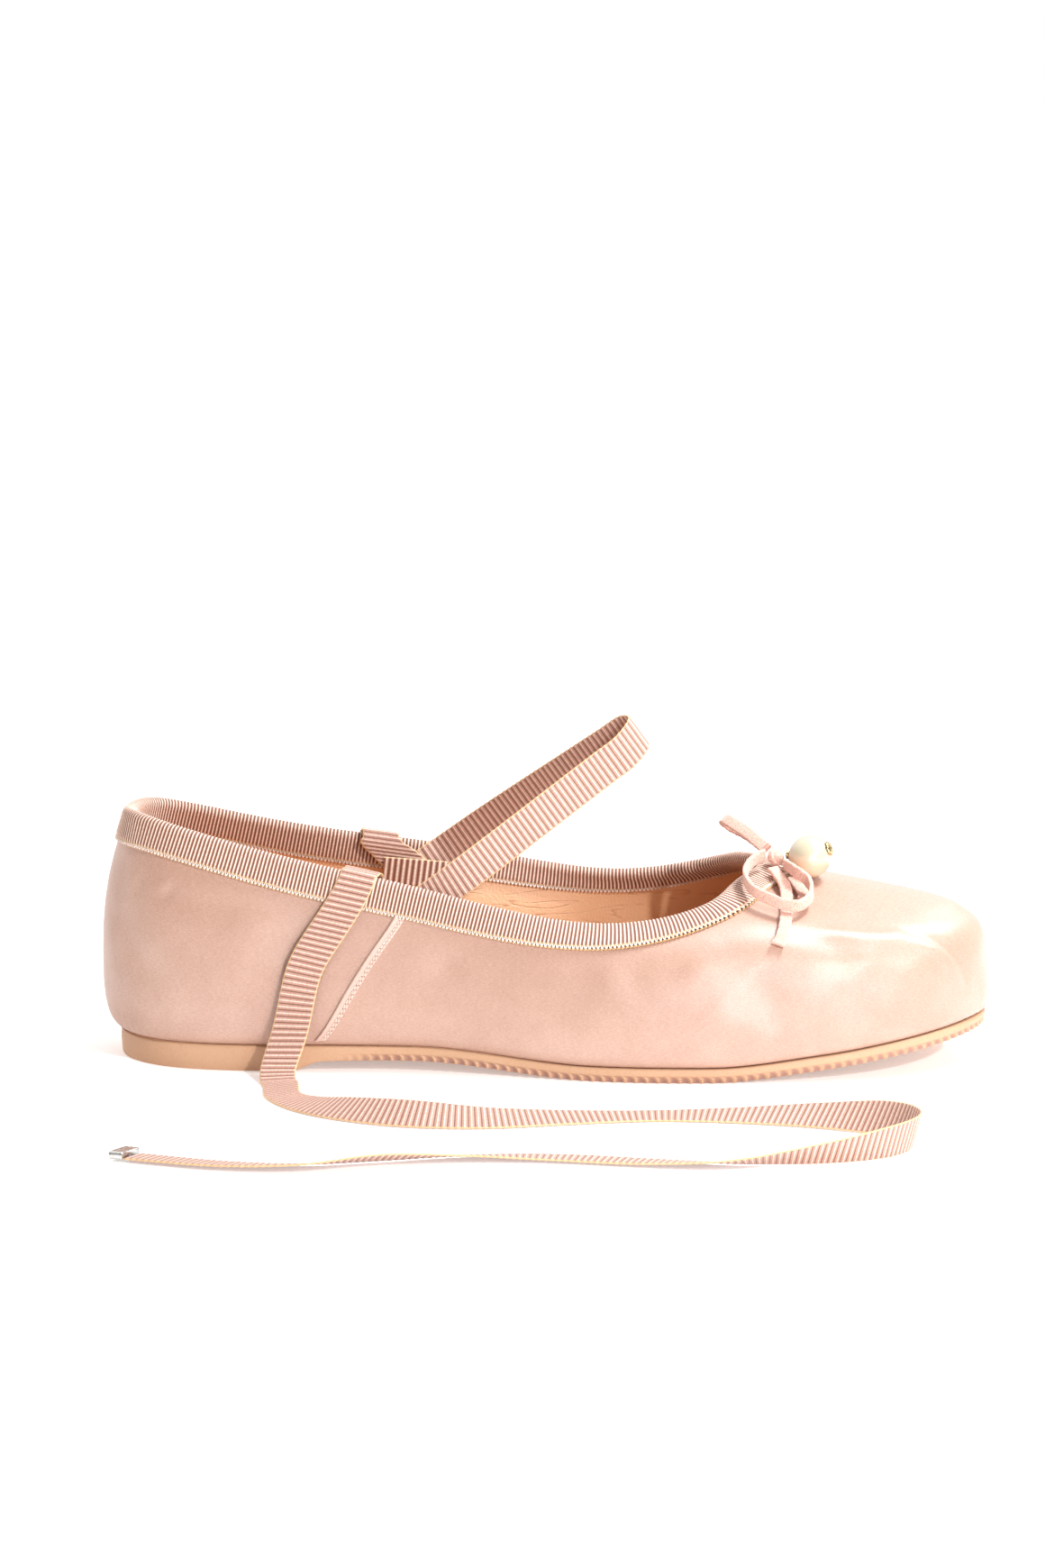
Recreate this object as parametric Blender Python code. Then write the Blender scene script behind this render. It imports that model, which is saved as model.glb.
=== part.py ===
"""A satin ballet flat for the right foot: a hollow upper on a thin ribbed sole, a grosgrain collar
binding, a strap over the instep, two ankle ties laid down beside the shoe, and a lace bow with a
pearl at the throat.

The toe points along +X, the outer side of the foot faces -Y, and the sole stands on z = 0.
Sizes are in millimetres, measured forwards from the back of the sole; MM turns them into metres,
and the origin moves to the floor under the middle of the shoe.
"""

import bmesh
import bpy
import numpy as np

MM = 0.001

# Lengths and widths of the last
SOLE_LENGTH = 242.0
HEEL_WIDTH = 57.0
WAIST_WIDTH = 53.5
BALL_WIDTH = 79.5
TOE_WIDTH = 47.0
OPENING_WIDTH = 65.5

# Heights above the floor
BACK_HEIGHT = 68.5
SIDE_HEIGHT = 42.0
THROAT_HEIGHT = 54.0

# Sole
HEEL_THICKNESS = 7.2
FOREFOOT_THICKNESS = 4.1
ARCH_LIFT = 3.2
TOE_SPRING = 9.8
SOLE_MARGIN = 0.8
SOLE_DRAFT = 0.5
BAND_PROUD = 0.1
BAND_SHARE = 0.5
RIB_PITCH = 3.0
RIB_DEPTH = 0.8
RIB_SLANT = 1.0

# Upper
UPPER_WALL = 1.8
OVERHANG = 7.0
CLEARANCE = 0.3
INSOLE_THICKNESS = 2.2
INSOLE_INSET = 1.4

# Collar binding
BINDING_DEPTH = 7.0
BINDING_THICKNESS = 0.7
BINDING_GAP = 0.45

# Side seams
SEAM_WIDTH = 3.0
SEAM_THICKNESS = 0.6

# Ribbon of the strap and the ties
RIBBON_WIDTH = 10.0
RIBBON_THICKNESS = 0.7
STRAP_RISE = 70.0
STRAP_SLOPE_DEG = 35.8
STRAP_TIP_RADIUS = 4.0
STRAP_TUCK = 11.0
STRAP_EASE = 0.9
KEEPER_DROP = 8.0
KEEPER_LENGTH = 17.0
KEEPER_WIDTH = 8.0
TIP_LENGTH = 4.0
TIP_THICKNESS = 2.2
TIP_EDGE = 0.6
FLOOR_GAP = 0.1

# Bow and pearl
BOW_SIZE = 17.0
LACE_WIDTH = 3.4
LACE_THICKNESS = 1.2
KNOT_LENGTH = 5.6
KNOT_WIDTH = 5.0
KNOT_HEIGHT = 5.2
KNOT_LIFT = 0.5
PEARL_DIAMETER = 12.0
PEARL_CAP_DIAMETER = 4.0
PEARL_CAP_HEIGHT = 0.7
PIN_FOOT = 2.6
PIN_DIAMETER = 1.0
PIN_RISE = 1.0

# How far the tie's middle lies from the binding inside the collar, with the strap between them
TIE_LAYER = 2 * CLEARANCE + STRAP_EASE + 1.5 * RIBBON_THICKNESS

WIDTHS = {"heel": HEEL_WIDTH, "waist": WAIST_WIDTH, "ball": BALL_WIDTH, "toe": TOE_WIDTH}
HEIGHTS = {"back": BACK_HEIGHT, "side": SIDE_HEIGHT, "throat": THROAT_HEIGHT}

# The feather line, where the upper meets the sole, round the shoe from the back of the heel.
FEATHER = [
    # section, along as a share of SOLE_LENGTH, width it follows, out as a share of that width
    ("heel_back", 0.000, "heel", 0.000),
    ("heel_outer", 0.042, "heel", -0.361),
    ("quarter_outer", 0.162, "heel", -0.500),
    ("waist_outer", 0.362, "waist", -0.548),
    ("joint_outer", 0.598, "ball", -0.500),
    ("vamp_outer", 0.790, "ball", -0.459),
    ("corner_outer", 0.944, "toe", -0.485),
    ("toe_front", 1.000, "toe", 0.040),
    ("corner_inner", 0.953, "toe", 0.510),
    ("vamp_inner", 0.820, "ball", 0.465),
    ("joint_inner", 0.651, "ball", 0.497),
    ("waist_inner", 0.383, "waist", 0.449),
    ("quarter_inner", 0.167, "heel", 0.491),
    ("heel_inner", 0.039, "heel", 0.370),
]

# The topline, the edge of the opening, with the same sections.
TOPLINE = [
    # section, along as a share of SOLE_LENGTH, out as a share of OPENING_WIDTH,
    # height it follows, up as a share of that height
    ("heel_back", 0.007, 0.000, "back", 1.000),
    ("heel_outer", 0.033, -0.281, "back", 1.002),
    ("quarter_outer", 0.161, -0.403, "back", 0.889),
    ("waist_outer", 0.350, -0.449, "back", 0.739),
    ("joint_outer", 0.566, -0.487, "side", 0.993),
    ("vamp_outer", 0.690, -0.366, "side", 1.110),
    ("corner_outer", 0.725, -0.154, "throat", 0.950),
    ("toe_front", 0.748, 0.015, "throat", 1.000),
    ("corner_inner", 0.728, 0.183, "throat", 1.008),
    ("vamp_inner", 0.687, 0.398, "throat", 0.943),
    ("joint_inner", 0.580, 0.513, "side", 1.088),
    ("waist_inner", 0.362, 0.452, "back", 0.768),
    ("quarter_inner", 0.155, 0.405, "back", 0.885),
    ("heel_inner", 0.029, 0.281, "back", 0.984),
]

# The shape of the wall between the two lines. The same row serves the outer and the inner side.
WALL = {
    # section: roll out, belly out, shoulder out, as shares of OVERHANG;
    # belly up, shoulder up, as shares of the wall's height there;
    # crown in, as a share of the way to the topline; crown lift, as a share of the height
    "heel_back": (0.74, 0.89, 0.72, 0.29, 0.65, 0.51, 0.010),
    "heel": (0.58, 0.76, 0.60, 0.30, 0.66, 0.50, 0.005),
    "quarter": (0.36, 0.52, 0.42, 0.30, 0.66, 0.50, 0.000),
    "waist": (0.30, 0.48, 0.40, 0.30, 0.66, 0.50, 0.010),
    "joint": (0.26, 0.44, 0.28, 0.30, 0.68, 0.50, 0.050),
    "vamp": (0.20, 0.42, 0.27, 0.27, 0.73, 0.44, 0.070),
    "corner": (0.20, 0.36, 0.26, 0.25, 0.69, 0.33, 0.000),
    "toe_front": (0.43, 0.21, 0.21, 0.19, 0.73, 0.28, -0.005),
}

# The sole's profile from the side.
SOLE_PROFILE = [
    # place, along as a share of SOLE_LENGTH, arch as a share of ARCH_LIFT,
    # spring as a share of TOE_SPRING, heel as a share of the heel's extra thickness
    ("heel_back", 0.000, 0.0, 0.00, 1.0),
    ("heel_front", 0.205, 0.0, 0.00, 1.0),
    ("breast", 0.245, 0.9, 0.00, 0.1),
    ("waist", 0.350, 1.0, 0.00, 0.0),
    ("tread_back", 0.560, 0.0, 0.00, 0.0),
    ("tread_front", 0.690, 0.0, 0.00, 0.0),
    ("toe_bend", 0.816, 0.0, 0.30, 0.0),
    ("toe_rise", 0.920, 0.0, 0.68, 0.0),
    ("toe_front", 1.000, 0.0, 1.00, 0.0),
]

RING_COUNT = 72
TURN_WEIGHT = 0.7
WALL_STEPS = [0.0, 0.05, 0.13, 0.24, 0.37, 0.50, 0.62, 0.73, 0.83, 0.92, 1.0]
FINE_STEPS = np.linspace(0.0, 1.0, 61)

# Where the side seams run, as shares of the way round at the topline and at the feather line.
SEAM_AROUND = {"outer": (0.1835, 0.127), "inner": (0.8110, 0.873)}
SEAM_FOOT = 0.08

# Where the strap comes out of the collar, as a share of SOLE_LENGTH, and how it closes towards
# its tip: share of STRAP_RISE, out as a share of its distance from the middle at the collar.
STRAP_ALONG = 0.370
STRAP_BEND = [(0.20, 0.93), (0.42, 0.72), (0.64, 0.47), (0.82, 0.27), (0.93, 0.15)]

# How a tie goes over the collar: lead over the keeper's middle and drop below the topline in
# millimetres, and how far over the edge it is, as collar_layer reads them.
TIE_OVER = [
    (0.5, 8.5, 0), (-3.5, 4.0, 0), (-6.8, 0.0, 0), (-7.4, 0.0, 0.25), (-8.0, 0.0, 0.5),
    (-8.6, 0.0, 0.75), (-9.2, 0.0, 1),
    (-11.5, 5.0, 1), (-15.5, 12.0, 1), (-20.0, 20.0, 1), (-24.0, 28.0, 1),
]
# How it leaves the wall for the floor: on from the last of these, outwards and up.
TIE_DROP = [(-3.5, 0.9, 13.0), (-6.0, 3.0, 5.5), (-7.0, 8.5, 1.6)]

# The ties after they reach the floor: along and out in millimetres, and how far the ribbon leans
# up on its edge, in degrees. The points are chosen by hand.
TIE_FLOOR = {
    "outer": [
        (50.0, -50.0, 8), (52.0, -63.0, 4), (60.0, -77.0, 14), (73.0, -88.0, 28),
        (90.0, -95.0, 34), (110.0, -95.0, 22), (131.0, -89.0, 10), (153.0, -84.0, 4),
        (176.0, -85.0, 12), (199.0, -91.0, 32), (217.0, -102.0, 60), (224.0, -117.0, 74),
        (217.0, -131.0, 70), (200.0, -140.0, 46), (178.0, -142.0, 18), (155.0, -138.0, 5),
        (131.0, -134.0, 4), (108.0, -136.0, 12), (86.0, -143.0, 22), (66.0, -148.0, 12),
        (45.0, -146.0, 6), (21.0, -138.0, 4),
    ],
    "inner": [
        (58.0, 50.0, 8), (64.0, 62.0, 4), (76.0, 74.0, 14), (92.0, 81.0, 28),
        (111.0, 82.0, 34), (132.0, 78.0, 20), (154.0, 74.0, 8), (177.0, 76.0, 4),
        (199.0, 83.0, 16), (217.0, 94.0, 42), (224.0, 109.0, 68), (217.0, 123.0, 74),
        (201.0, 131.0, 52), (179.0, 131.0, 24), (156.0, 126.0, 6), (133.0, 124.0, 4),
        (110.0, 128.0, 12), (88.0, 134.0, 22), (66.0, 136.0, 12), (45.0, 131.0, 5),
        (24.0, 122.0, 4), (5.0, 111.0, 4),
    ],
}

# The bow's lace: along, out and lift over the vamp, in shares of BOW_SIZE from the throat.
KNOT_PLACE = (0.19, -0.18)
BOW_LOOPS = {
    "outer": [
        (0.01, -0.38, 0.36), (-0.12, -0.52, 0.36), (-0.25, -0.75, 0.33), (-0.29, -1.01, 0.29),
        (-0.15, -1.39, 0.29), (0.11, -1.56, 0.28), (0.40, -1.64, 0.26), (0.63, -1.59, 0.26),
        (0.79, -1.27, 0.27), (0.75, -1.00, 0.35), (0.52, -0.82, 0.41), (0.35, -0.44, 0.29),
    ],
    "inner": [
        (0.00, -0.07, 0.34), (-0.28, 0.24, 0.48), (-0.53, 0.50, 0.61), (-0.65, 0.71, 0.63),
        (-0.68, 0.86, 0.54), (-0.55, 0.80, 0.40), (-0.26, 0.54, 0.26), (0.04, 0.15, 0.21),
    ],
}
BOW_TAILS = {
    "outer": [
        (0.12, -0.40, 0.19), (0.25, -0.58, 0.16), (0.35, -0.80, 0.11), (0.39, -1.20, 0.07),
        (0.39, -1.63, 0.07), (0.36, -1.92, 0.07), (0.28, -2.10, 0.07),
    ],
    "inner": [(0.45, -0.48, 0.12), (0.57, -0.67, 0.09), (0.66, -0.87, 0.07), (0.67, -1.02, 0.07)],
}
LOOP_EDGE = {"outer": (0.0, -0.20, 0.98), "inner": (0.20, -0.45, 0.87)}

# The pearl: along and out in the same shares, its seat as a share of its radius, and the way
# its cap faces.
PEARL_PLACE = (0.75, -0.26)
PEARL_SEAT = 1.07
PEARL_CAP_WAY = (0.88, -0.20, 0.42)


def periodic_spline(knots, values, at):
    """A closed smooth curve through values, which lie at knots from 0 to under 1."""
    count = len(knots)
    ends = np.append(knots, 1.0)
    rows = np.vstack([values, values[:1]])
    step = np.diff(ends)
    matrix = np.zeros((count, count))
    right = np.zeros((count, rows.shape[1]))
    for i in range(count):
        before, after = step[i - 1], step[i]
        matrix[i, i - 1] += before
        matrix[i, i] += 2 * (before + after)
        matrix[i, (i + 1) % count] += after
        rise = (rows[i + 1] - rows[i]) / after
        fall = (rows[i] - rows[i - 1 if i else count - 1]) / before
        right[i] = 6 * (rise - fall)
    bend = np.linalg.solve(matrix, right)
    bend = np.vstack([bend, bend[:1]])
    at = np.mod(at, 1.0)
    k = np.clip(np.searchsorted(ends, at, side="right") - 1, 0, count - 1)
    left = (ends[k + 1] - at)[:, None]
    gone = (at - ends[k])[:, None]
    h = step[k][:, None]
    curve = (bend[k] * left**3 + bend[k + 1] * gone**3) / (6 * h)
    curve += (rows[k] / h - bend[k] * h / 6) * left
    curve += (rows[k + 1] / h - bend[k + 1] * h / 6) * gone
    return curve


def steady_curve(at, places, values):
    """A smooth curve through values that never swings past them, and is level between equals."""
    places, values = np.asarray(places, float), np.asarray(values, float)
    slope = np.diff(values) / np.diff(places)
    tangent = np.zeros(len(values))
    for i in range(1, len(values) - 1):
        if slope[i - 1] * slope[i] > 0:
            tangent[i] = 2 * slope[i - 1] * slope[i] / (slope[i - 1] + slope[i])
    tangent[0], tangent[-1] = slope[0], slope[-1]
    at = np.clip(at, places[0], places[-1])
    k = np.clip(np.searchsorted(places, at, side="right") - 1, 0, len(places) - 2)
    h = places[k + 1] - places[k]
    t = (at - places[k]) / h
    return (
        values[k] * (1 + 2 * t) * (1 - t) ** 2
        + tangent[k] * h * t * (1 - t) ** 2
        + values[k + 1] * t**2 * (3 - 2 * t)
        + tangent[k + 1] * h * t**2 * (t - 1)
    )


def open_spline(points, count, turn_weight=0.0):
    """count points along a smooth open curve through points, evenly spaced, or closer together
    where it turns."""
    points = np.asarray(points, float)
    rows = np.vstack([2 * points[0] - points[1], points, 2 * points[-1] - points[-2]])
    t = np.linspace(0, 1, 24, endpoint=False)[:, None]
    parts = []
    for a, b, c, d in zip(rows, rows[1:], rows[2:], rows[3:]):
        parts.append(
            0.5 * (2 * b + (c - a) * t + (2 * a - 5 * b + 4 * c - d) * t**2
                   + (3 * b - a - 3 * c + d) * t**3)
        )
    line = np.vstack(parts + [points[-1:]])
    step = np.linalg.norm(np.diff(line[:, :3], axis=0), axis=1)
    way = unit(np.gradient(line[:, :3], axis=0))
    turned = np.linalg.norm(np.diff(way, axis=0), axis=1)
    share = step / step.sum() + turn_weight * turned / turned.sum()
    gone = np.concatenate([[0], np.cumsum(share)])
    at = np.linspace(0, gone[-1], count)
    return np.stack([np.interp(at, gone, line[:, k]) for k in range(line.shape[1])], axis=1)


def unit(vectors):
    """The same vectors, each one long."""
    return vectors / np.linalg.norm(vectors, axis=-1, keepdims=True)


def section_rows():
    """One row of numbers for each section: feather line, topline and wall shape."""
    rows = []
    for (name, along, width, out), (_, top_along, top_out, height, up) in zip(FEATHER, TOPLINE):
        kind = name if name in WALL else name.rsplit("_", 1)[0]
        rows.append(
            [along * SOLE_LENGTH, out * WIDTHS[width]]
            + [top_along * SOLE_LENGTH, top_out * OPENING_WIDTH, up * HEIGHTS[height]]
            + list(WALL[kind])
        )
    return np.array(rows)


def section_knots(rows):
    """How far round the feather line each section lies, from 0 to under 1."""
    closed = np.vstack([rows[:, :2], rows[:1, :2]])
    steps = np.linalg.norm(np.diff(closed, axis=0), axis=1)
    return np.concatenate([[0], np.cumsum(steps)[:-1]]) / steps.sum()


SECTIONS = section_rows()
KNOTS = section_knots(SECTIONS)
TOE_ROW = [row[0] for row in FEATHER].index("toe_front")
TOE_AROUND = KNOTS[TOE_ROW]


def sole_bottom(x):
    """Height of the sole's underside above the floor."""
    places = [row[1] * SOLE_LENGTH for row in SOLE_PROFILE]
    lift = [row[2] * ARCH_LIFT + row[3] * TOE_SPRING for row in SOLE_PROFILE]
    return steady_curve(x, places, lift)


def sole_top(x):
    """Height of the sole's upper face above the floor."""
    places = [row[1] * SOLE_LENGTH for row in SOLE_PROFILE]
    extra = HEEL_THICKNESS - FOREFOOT_THICKNESS
    thick = [FOREFOOT_THICKNESS + row[4] * extra for row in SOLE_PROFILE]
    return sole_bottom(x) + steady_curve(x, places, thick)


def feather(around, out=0.0):
    """Points of the feather line in plan, moved outwards by out, and the outward directions."""
    around = np.asarray(around, float)
    step = 1e-4
    here = periodic_spline(KNOTS, SECTIONS, around)[:, :2]
    ahead = periodic_spline(KNOTS, SECTIONS, around + step)[:, :2]
    back = periodic_spline(KNOTS, SECTIONS, around - step)[:, :2]
    way = unit(ahead - back)
    outward = np.stack([way[:, 1], -way[:, 0]], axis=1)
    return here + outward * out, outward


def spline_weights(steps, count, degree=3):
    """What each of count control points weighs at each step of a clamped uniform B-spline."""
    inner = np.linspace(0, 1, count - degree + 1)
    knots = np.concatenate([[0.0] * degree, inner, [1.0] * degree])
    steps = np.clip(np.asarray(steps, float), 0, 1 - 1e-9)
    weights = ((steps[:, None] >= knots[:-1]) & (steps[:, None] < knots[1:])).astype(float)
    for d in range(1, degree + 1):
        rise = knots[d:-1] - knots[:-d - 1]
        fall = knots[d + 1:] - knots[1:-d]
        up = np.where(rise > 0, (steps[:, None] - knots[:-d - 1]) / np.where(rise > 0, rise, 1), 0)
        down = np.where(fall > 0, (knots[d + 1:] - steps[:, None]) / np.where(fall > 0, fall, 1), 0)
        weights = weights[:, :-1] * up + weights[:, 1:] * down
    return weights


def wall_surface(around, steps):
    """The outside of the upper: points[step, around] from the feather line to the topline."""
    around = np.asarray(around, float)
    row = periodic_spline(KNOTS, SECTIONS, around)
    low, outward = feather(around)
    base = sole_top(low[:, 0]) + CLEARANCE
    height = row[:, 4] - base
    top = row[:, 2:5]

    def beside(out_share, up_share):
        plan = low + outward * (OVERHANG * out_share)[:, None]
        return np.column_stack([plan, base + up_share * height])

    foot = np.column_stack([low, base])
    roll = beside(row[:, 5], 0.02 + 0 * base)
    belly = beside(row[:, 6], row[:, 8])
    shoulder = beside(row[:, 7], row[:, 9])
    crown = shoulder + (top - shoulder) * row[:, 10:11]
    crown[:, 2] += row[:, 11] * height
    control = np.stack([foot, roll, belly, shoulder, crown, top])
    return np.einsum("sc,cnk->snk", spline_weights(steps, len(control)), control)


def surface_normals(around, steps):
    """Outward unit normals of wall_surface at the same places."""
    around, steps = np.asarray(around, float), np.asarray(steps, float)
    small = 1e-4
    ahead = wall_surface(around + small, steps) - wall_surface(around - small, steps)
    low, high = np.clip(steps - small, 0, 1), np.clip(steps + small, 0, 1 - 1e-9)
    upward = wall_surface(around, high) - wall_surface(around, low)
    return unit(np.cross(ahead, upward))


def below_topline(around, drops):
    """Points, normals and upward directions of the wall, drops millimetres below the topline."""
    around = np.atleast_1d(np.asarray(around, float))
    fine = wall_surface(around, FINE_STEPS)
    length = np.linalg.norm(np.diff(fine, axis=0), axis=2)
    to_top = np.vstack([np.cumsum(length[::-1], axis=0)[::-1], np.zeros((1, len(around)))])
    points, normals, ups = [], [], []
    for i, place in enumerate(around):
        steps = np.interp(-np.asarray(drops, float), -to_top[:, i], FINE_STEPS)
        here = wall_surface([place], steps)[:, 0]
        small = 1e-4
        high = wall_surface([place], np.clip(steps + small, 0, 1 - 1e-9))[:, 0]
        low = wall_surface([place], np.clip(steps - small, 0, 1))[:, 0]
        points.append(here)
        normals.append(surface_normals([place], steps)[:, 0])
        ups.append(unit(high - low))
    return np.stack(points, axis=1), np.stack(normals, axis=1), np.stack(ups, axis=1)


def middle_of_shoe():
    """The point on the floor under the middle of the upper, which is the frame's origin."""
    plan = wall_surface(np.linspace(0, 1, 361), np.linspace(0, 1, 31)).reshape(-1, 3)[:, :2]
    return np.array([*(plan.min(axis=0) + plan.max(axis=0)) / 2, 0.0])


ORIGIN = middle_of_shoe()

# Below here the shapes become Blender objects.


def new_object(name, points, faces, material, smooth_deg=40.0):
    """A mesh object from points in millimetres, moved so that ORIGIN is the frame's origin, and
    shaded smooth but for its sharp edges."""
    mesh = bpy.data.meshes.new(name)
    mesh.from_pydata(((np.asarray(points, float) - ORIGIN) * MM).tolist(), [], faces)
    mesh.validate()
    edit = bmesh.new()
    edit.from_mesh(mesh)
    bmesh.ops.recalc_face_normals(edit, faces=edit.faces)
    edit.to_mesh(mesh)
    edit.free()
    mesh.shade_smooth()
    mesh.set_sharp_from_angle(angle=np.radians(smooth_deg))
    mesh.materials.append(material)
    made = bpy.data.objects.new(name, mesh)
    bpy.context.scene.collection.objects.link(made)
    return made


def ring_solid(name, rings, material):
    """A closed solid round the shoe: rings[r, n], where the rings close on each other too."""
    count, length = rings.shape[:2]
    faces = []
    for r in range(count):
        for n in range(length):
            after, beside = (r + 1) % count, (n + 1) % length
            faces.append([r * length + n, r * length + beside,
                          after * length + beside, after * length + n])
    return new_object(name, rings.reshape(-1, 3), faces, material)


def strip_solid(name, sections, material):
    """A closed solid along a path: sections[s, m] are closed outlines, and both ends are capped."""
    count, sides = sections.shape[:2]
    faces = [list(range(sides))[::-1], [(count - 1) * sides + m for m in range(sides)]]
    for s in range(count - 1):
        for m in range(sides):
            beside = (m + 1) % sides
            faces.append([s * sides + m, s * sides + beside,
                          (s + 1) * sides + beside, (s + 1) * sides + m])
    return new_object(name, sections.reshape(-1, 3), faces, material)


def plate_solid(name, rings, material):
    """A plate with side rings[r, n] from top to bottom. Point 0 is at the back and half way
    round is the toe; each face is made of strips across from one side to the other."""
    count, length = rings.shape[:2]
    half = length // 2
    faces = []
    for r in range(count - 1):
        for n in range(length):
            beside = (n + 1) % length
            faces.append([r * length + n, r * length + beside,
                          (r + 1) * length + beside, (r + 1) * length + n])
    for start in (0, (count - 1) * length):
        for n in range(half):
            corners = [n, n + 1, length - n - 1, (length - n) % length]
            corners = list(dict.fromkeys(corners))
            faces.append([start + c for c in corners])
    return new_object(name, rings.reshape(-1, 3), faces, material)


def material(name, colour, roughness, metallic=0.0):
    """A plain Principled material."""
    made = bpy.data.materials.new(name)
    made.use_nodes = True
    shader = made.node_tree.nodes["Principled BSDF"]
    shader.inputs["Base Color"].default_value = (*colour, 1.0)
    shader.inputs["Roughness"].default_value = roughness
    shader.inputs["Metallic"].default_value = metallic
    return made


def sole_around():
    """Places round the sole, as many on each side, and which of them are in a rib's groove."""
    sides, groove = [], []
    fine = np.linspace(0, TOE_AROUND, 400)
    plan = feather(fine)[0]
    gone = np.concatenate([[0], np.cumsum(np.linalg.norm(np.diff(plan, axis=0), axis=1))])
    breast = SOLE_LENGTH * SOLE_PROFILE[2][1]
    start = gone[np.argmax(plan[:, 0] > breast)]
    heel_count = 22
    rib_count = int(round((gone[-1] - start) / RIB_PITCH))
    for side, end in (("outer", TOE_AROUND), ("inner", TOE_AROUND - 1.0)):
        fine = np.linspace(0, end, 400)
        plan = feather(fine)[0]
        gone = np.concatenate([[0], np.cumsum(np.linalg.norm(np.diff(plan, axis=0), axis=1))])
        start = gone[np.argmax(plan[:, 0] > breast)]
        at = np.concatenate([
            np.linspace(0, start, heel_count, endpoint=False),
            np.linspace(start, gone[-1], 2 * rib_count, endpoint=False),
        ])
        sides.append(np.interp(at, gone, fine))
        groove.append((np.arange(len(at)) >= heel_count) & (np.arange(len(at)) % 2 == 1))
    outer, inner = sides
    around = np.concatenate([outer, [TOE_AROUND], np.mod(inner[:0:-1], 1.0)])
    in_groove = np.concatenate([groove[0], [False], groove[1][:0:-1]])
    return around, in_groove


def make_outsole(rubber):
    """The sole: a smooth band over a ribbed edge, thicker under the heel, hollow at the arch."""
    around, in_groove = sole_around()
    slant = np.where(in_groove, 1.0, 0.0)
    plan = feather(around)[0]
    girth = np.linalg.norm(np.diff(np.vstack([plan, plan[:1]]), axis=0), axis=1).sum()
    side = np.where(around < TOE_AROUND, 1.0, -1.0)
    ribbed = (plan[:, 0] > SOLE_LENGTH * SOLE_PROFILE[2][1]) & (around != TOE_AROUND)
    lean = side * ribbed * RIB_SLANT / girth
    rings = []
    rows = [
        # out, share of the way down, groove share
        (SOLE_MARGIN, 0.0, 0.0),
        (SOLE_MARGIN + BAND_PROUD, BAND_SHARE, 0.0),
        (SOLE_MARGIN, BAND_SHARE + 0.12, 0.6),
        (SOLE_MARGIN - SOLE_DRAFT, 1.0, 1.0),
    ]
    for out, down, depth in rows:
        shifted = around + lean * depth
        plan, outward = feather(shifted, out)
        plan = plan - outward * (slant * depth * RIB_DEPTH)[:, None]
        on_line = feather(shifted)[0]
        top, bottom = sole_top(on_line[:, 0]), sole_bottom(on_line[:, 0])
        rings.append(np.column_stack([plan, top + (bottom - top) * down]))
    return plate_solid("outsole", np.stack(rings), rubber)


def make_insole(leather):
    """The leather-covered sock that lies on the sole inside the upper."""
    half = RING_COUNT // 2
    around = np.concatenate([
        np.linspace(0, TOE_AROUND, half, endpoint=False),
        np.linspace(TOE_AROUND, 1, half, endpoint=False),
    ])
    plan = feather(around, -INSOLE_INSET)[0]
    low = sole_top(plan[:, 0]) + CLEARANCE
    rings = [np.column_stack([plan, low + INSOLE_THICKNESS]), np.column_stack([plan, low])]
    return plate_solid("insole", np.stack(rings), leather)


def ring_places():
    """Places round the shoe for the upper's columns, closer together where the outline turns."""
    fine = np.linspace(0, 1, 1201)
    plan, outward = feather(fine)
    gone = np.linalg.norm(np.diff(plan, axis=0), axis=1)
    turned = np.linalg.norm(np.diff(outward, axis=0), axis=1)
    share = gone / gone.sum() + TURN_WEIGHT * turned / turned.sum()
    reach = np.concatenate([[0], np.cumsum(share)])
    return np.interp(np.linspace(0, reach[-1], RING_COUNT, endpoint=False), reach, fine)


def make_upper(satin):
    """The hollow satin upper with its lining, open at the collar and underneath."""
    around = ring_places()
    outside = wall_surface(around, WALL_STEPS)
    inside = outside - surface_normals(around, WALL_STEPS) * UPPER_WALL
    return ring_solid("upper", np.concatenate([outside, inside[::-1]]), satin)


def make_binding(grosgrain):
    """The ribbon folded over the topline, with a leg outside and a leg inside."""
    around = ring_places()
    drops = [BINDING_DEPTH, 0.0]
    points, normals, ups = below_topline(around, drops)
    near, far = BINDING_GAP, BINDING_GAP + BINDING_THICKNESS
    middle = points[1] - normals[1] * UPPER_WALL / 2
    reach = UPPER_WALL / 2 + far
    rings = [points[k] + normals[k] * far for k in range(2)]
    for angle in (45, 90, 135):
        turn = np.radians(angle)
        rings.append(middle + (normals[1] * np.cos(turn) + ups[1] * np.sin(turn)) * reach)
    rings += [points[k] - normals[k] * (UPPER_WALL + far) for k in (1, 0)]
    rings += [points[k] - normals[k] * (UPPER_WALL + near) for k in range(2)]
    rings.append(middle + ups[1] * (UPPER_WALL / 2 + near))
    rings += [points[k] + normals[k] * near for k in (1, 0)]
    return ring_solid("collar_binding", np.stack(rings), grosgrain)


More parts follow.
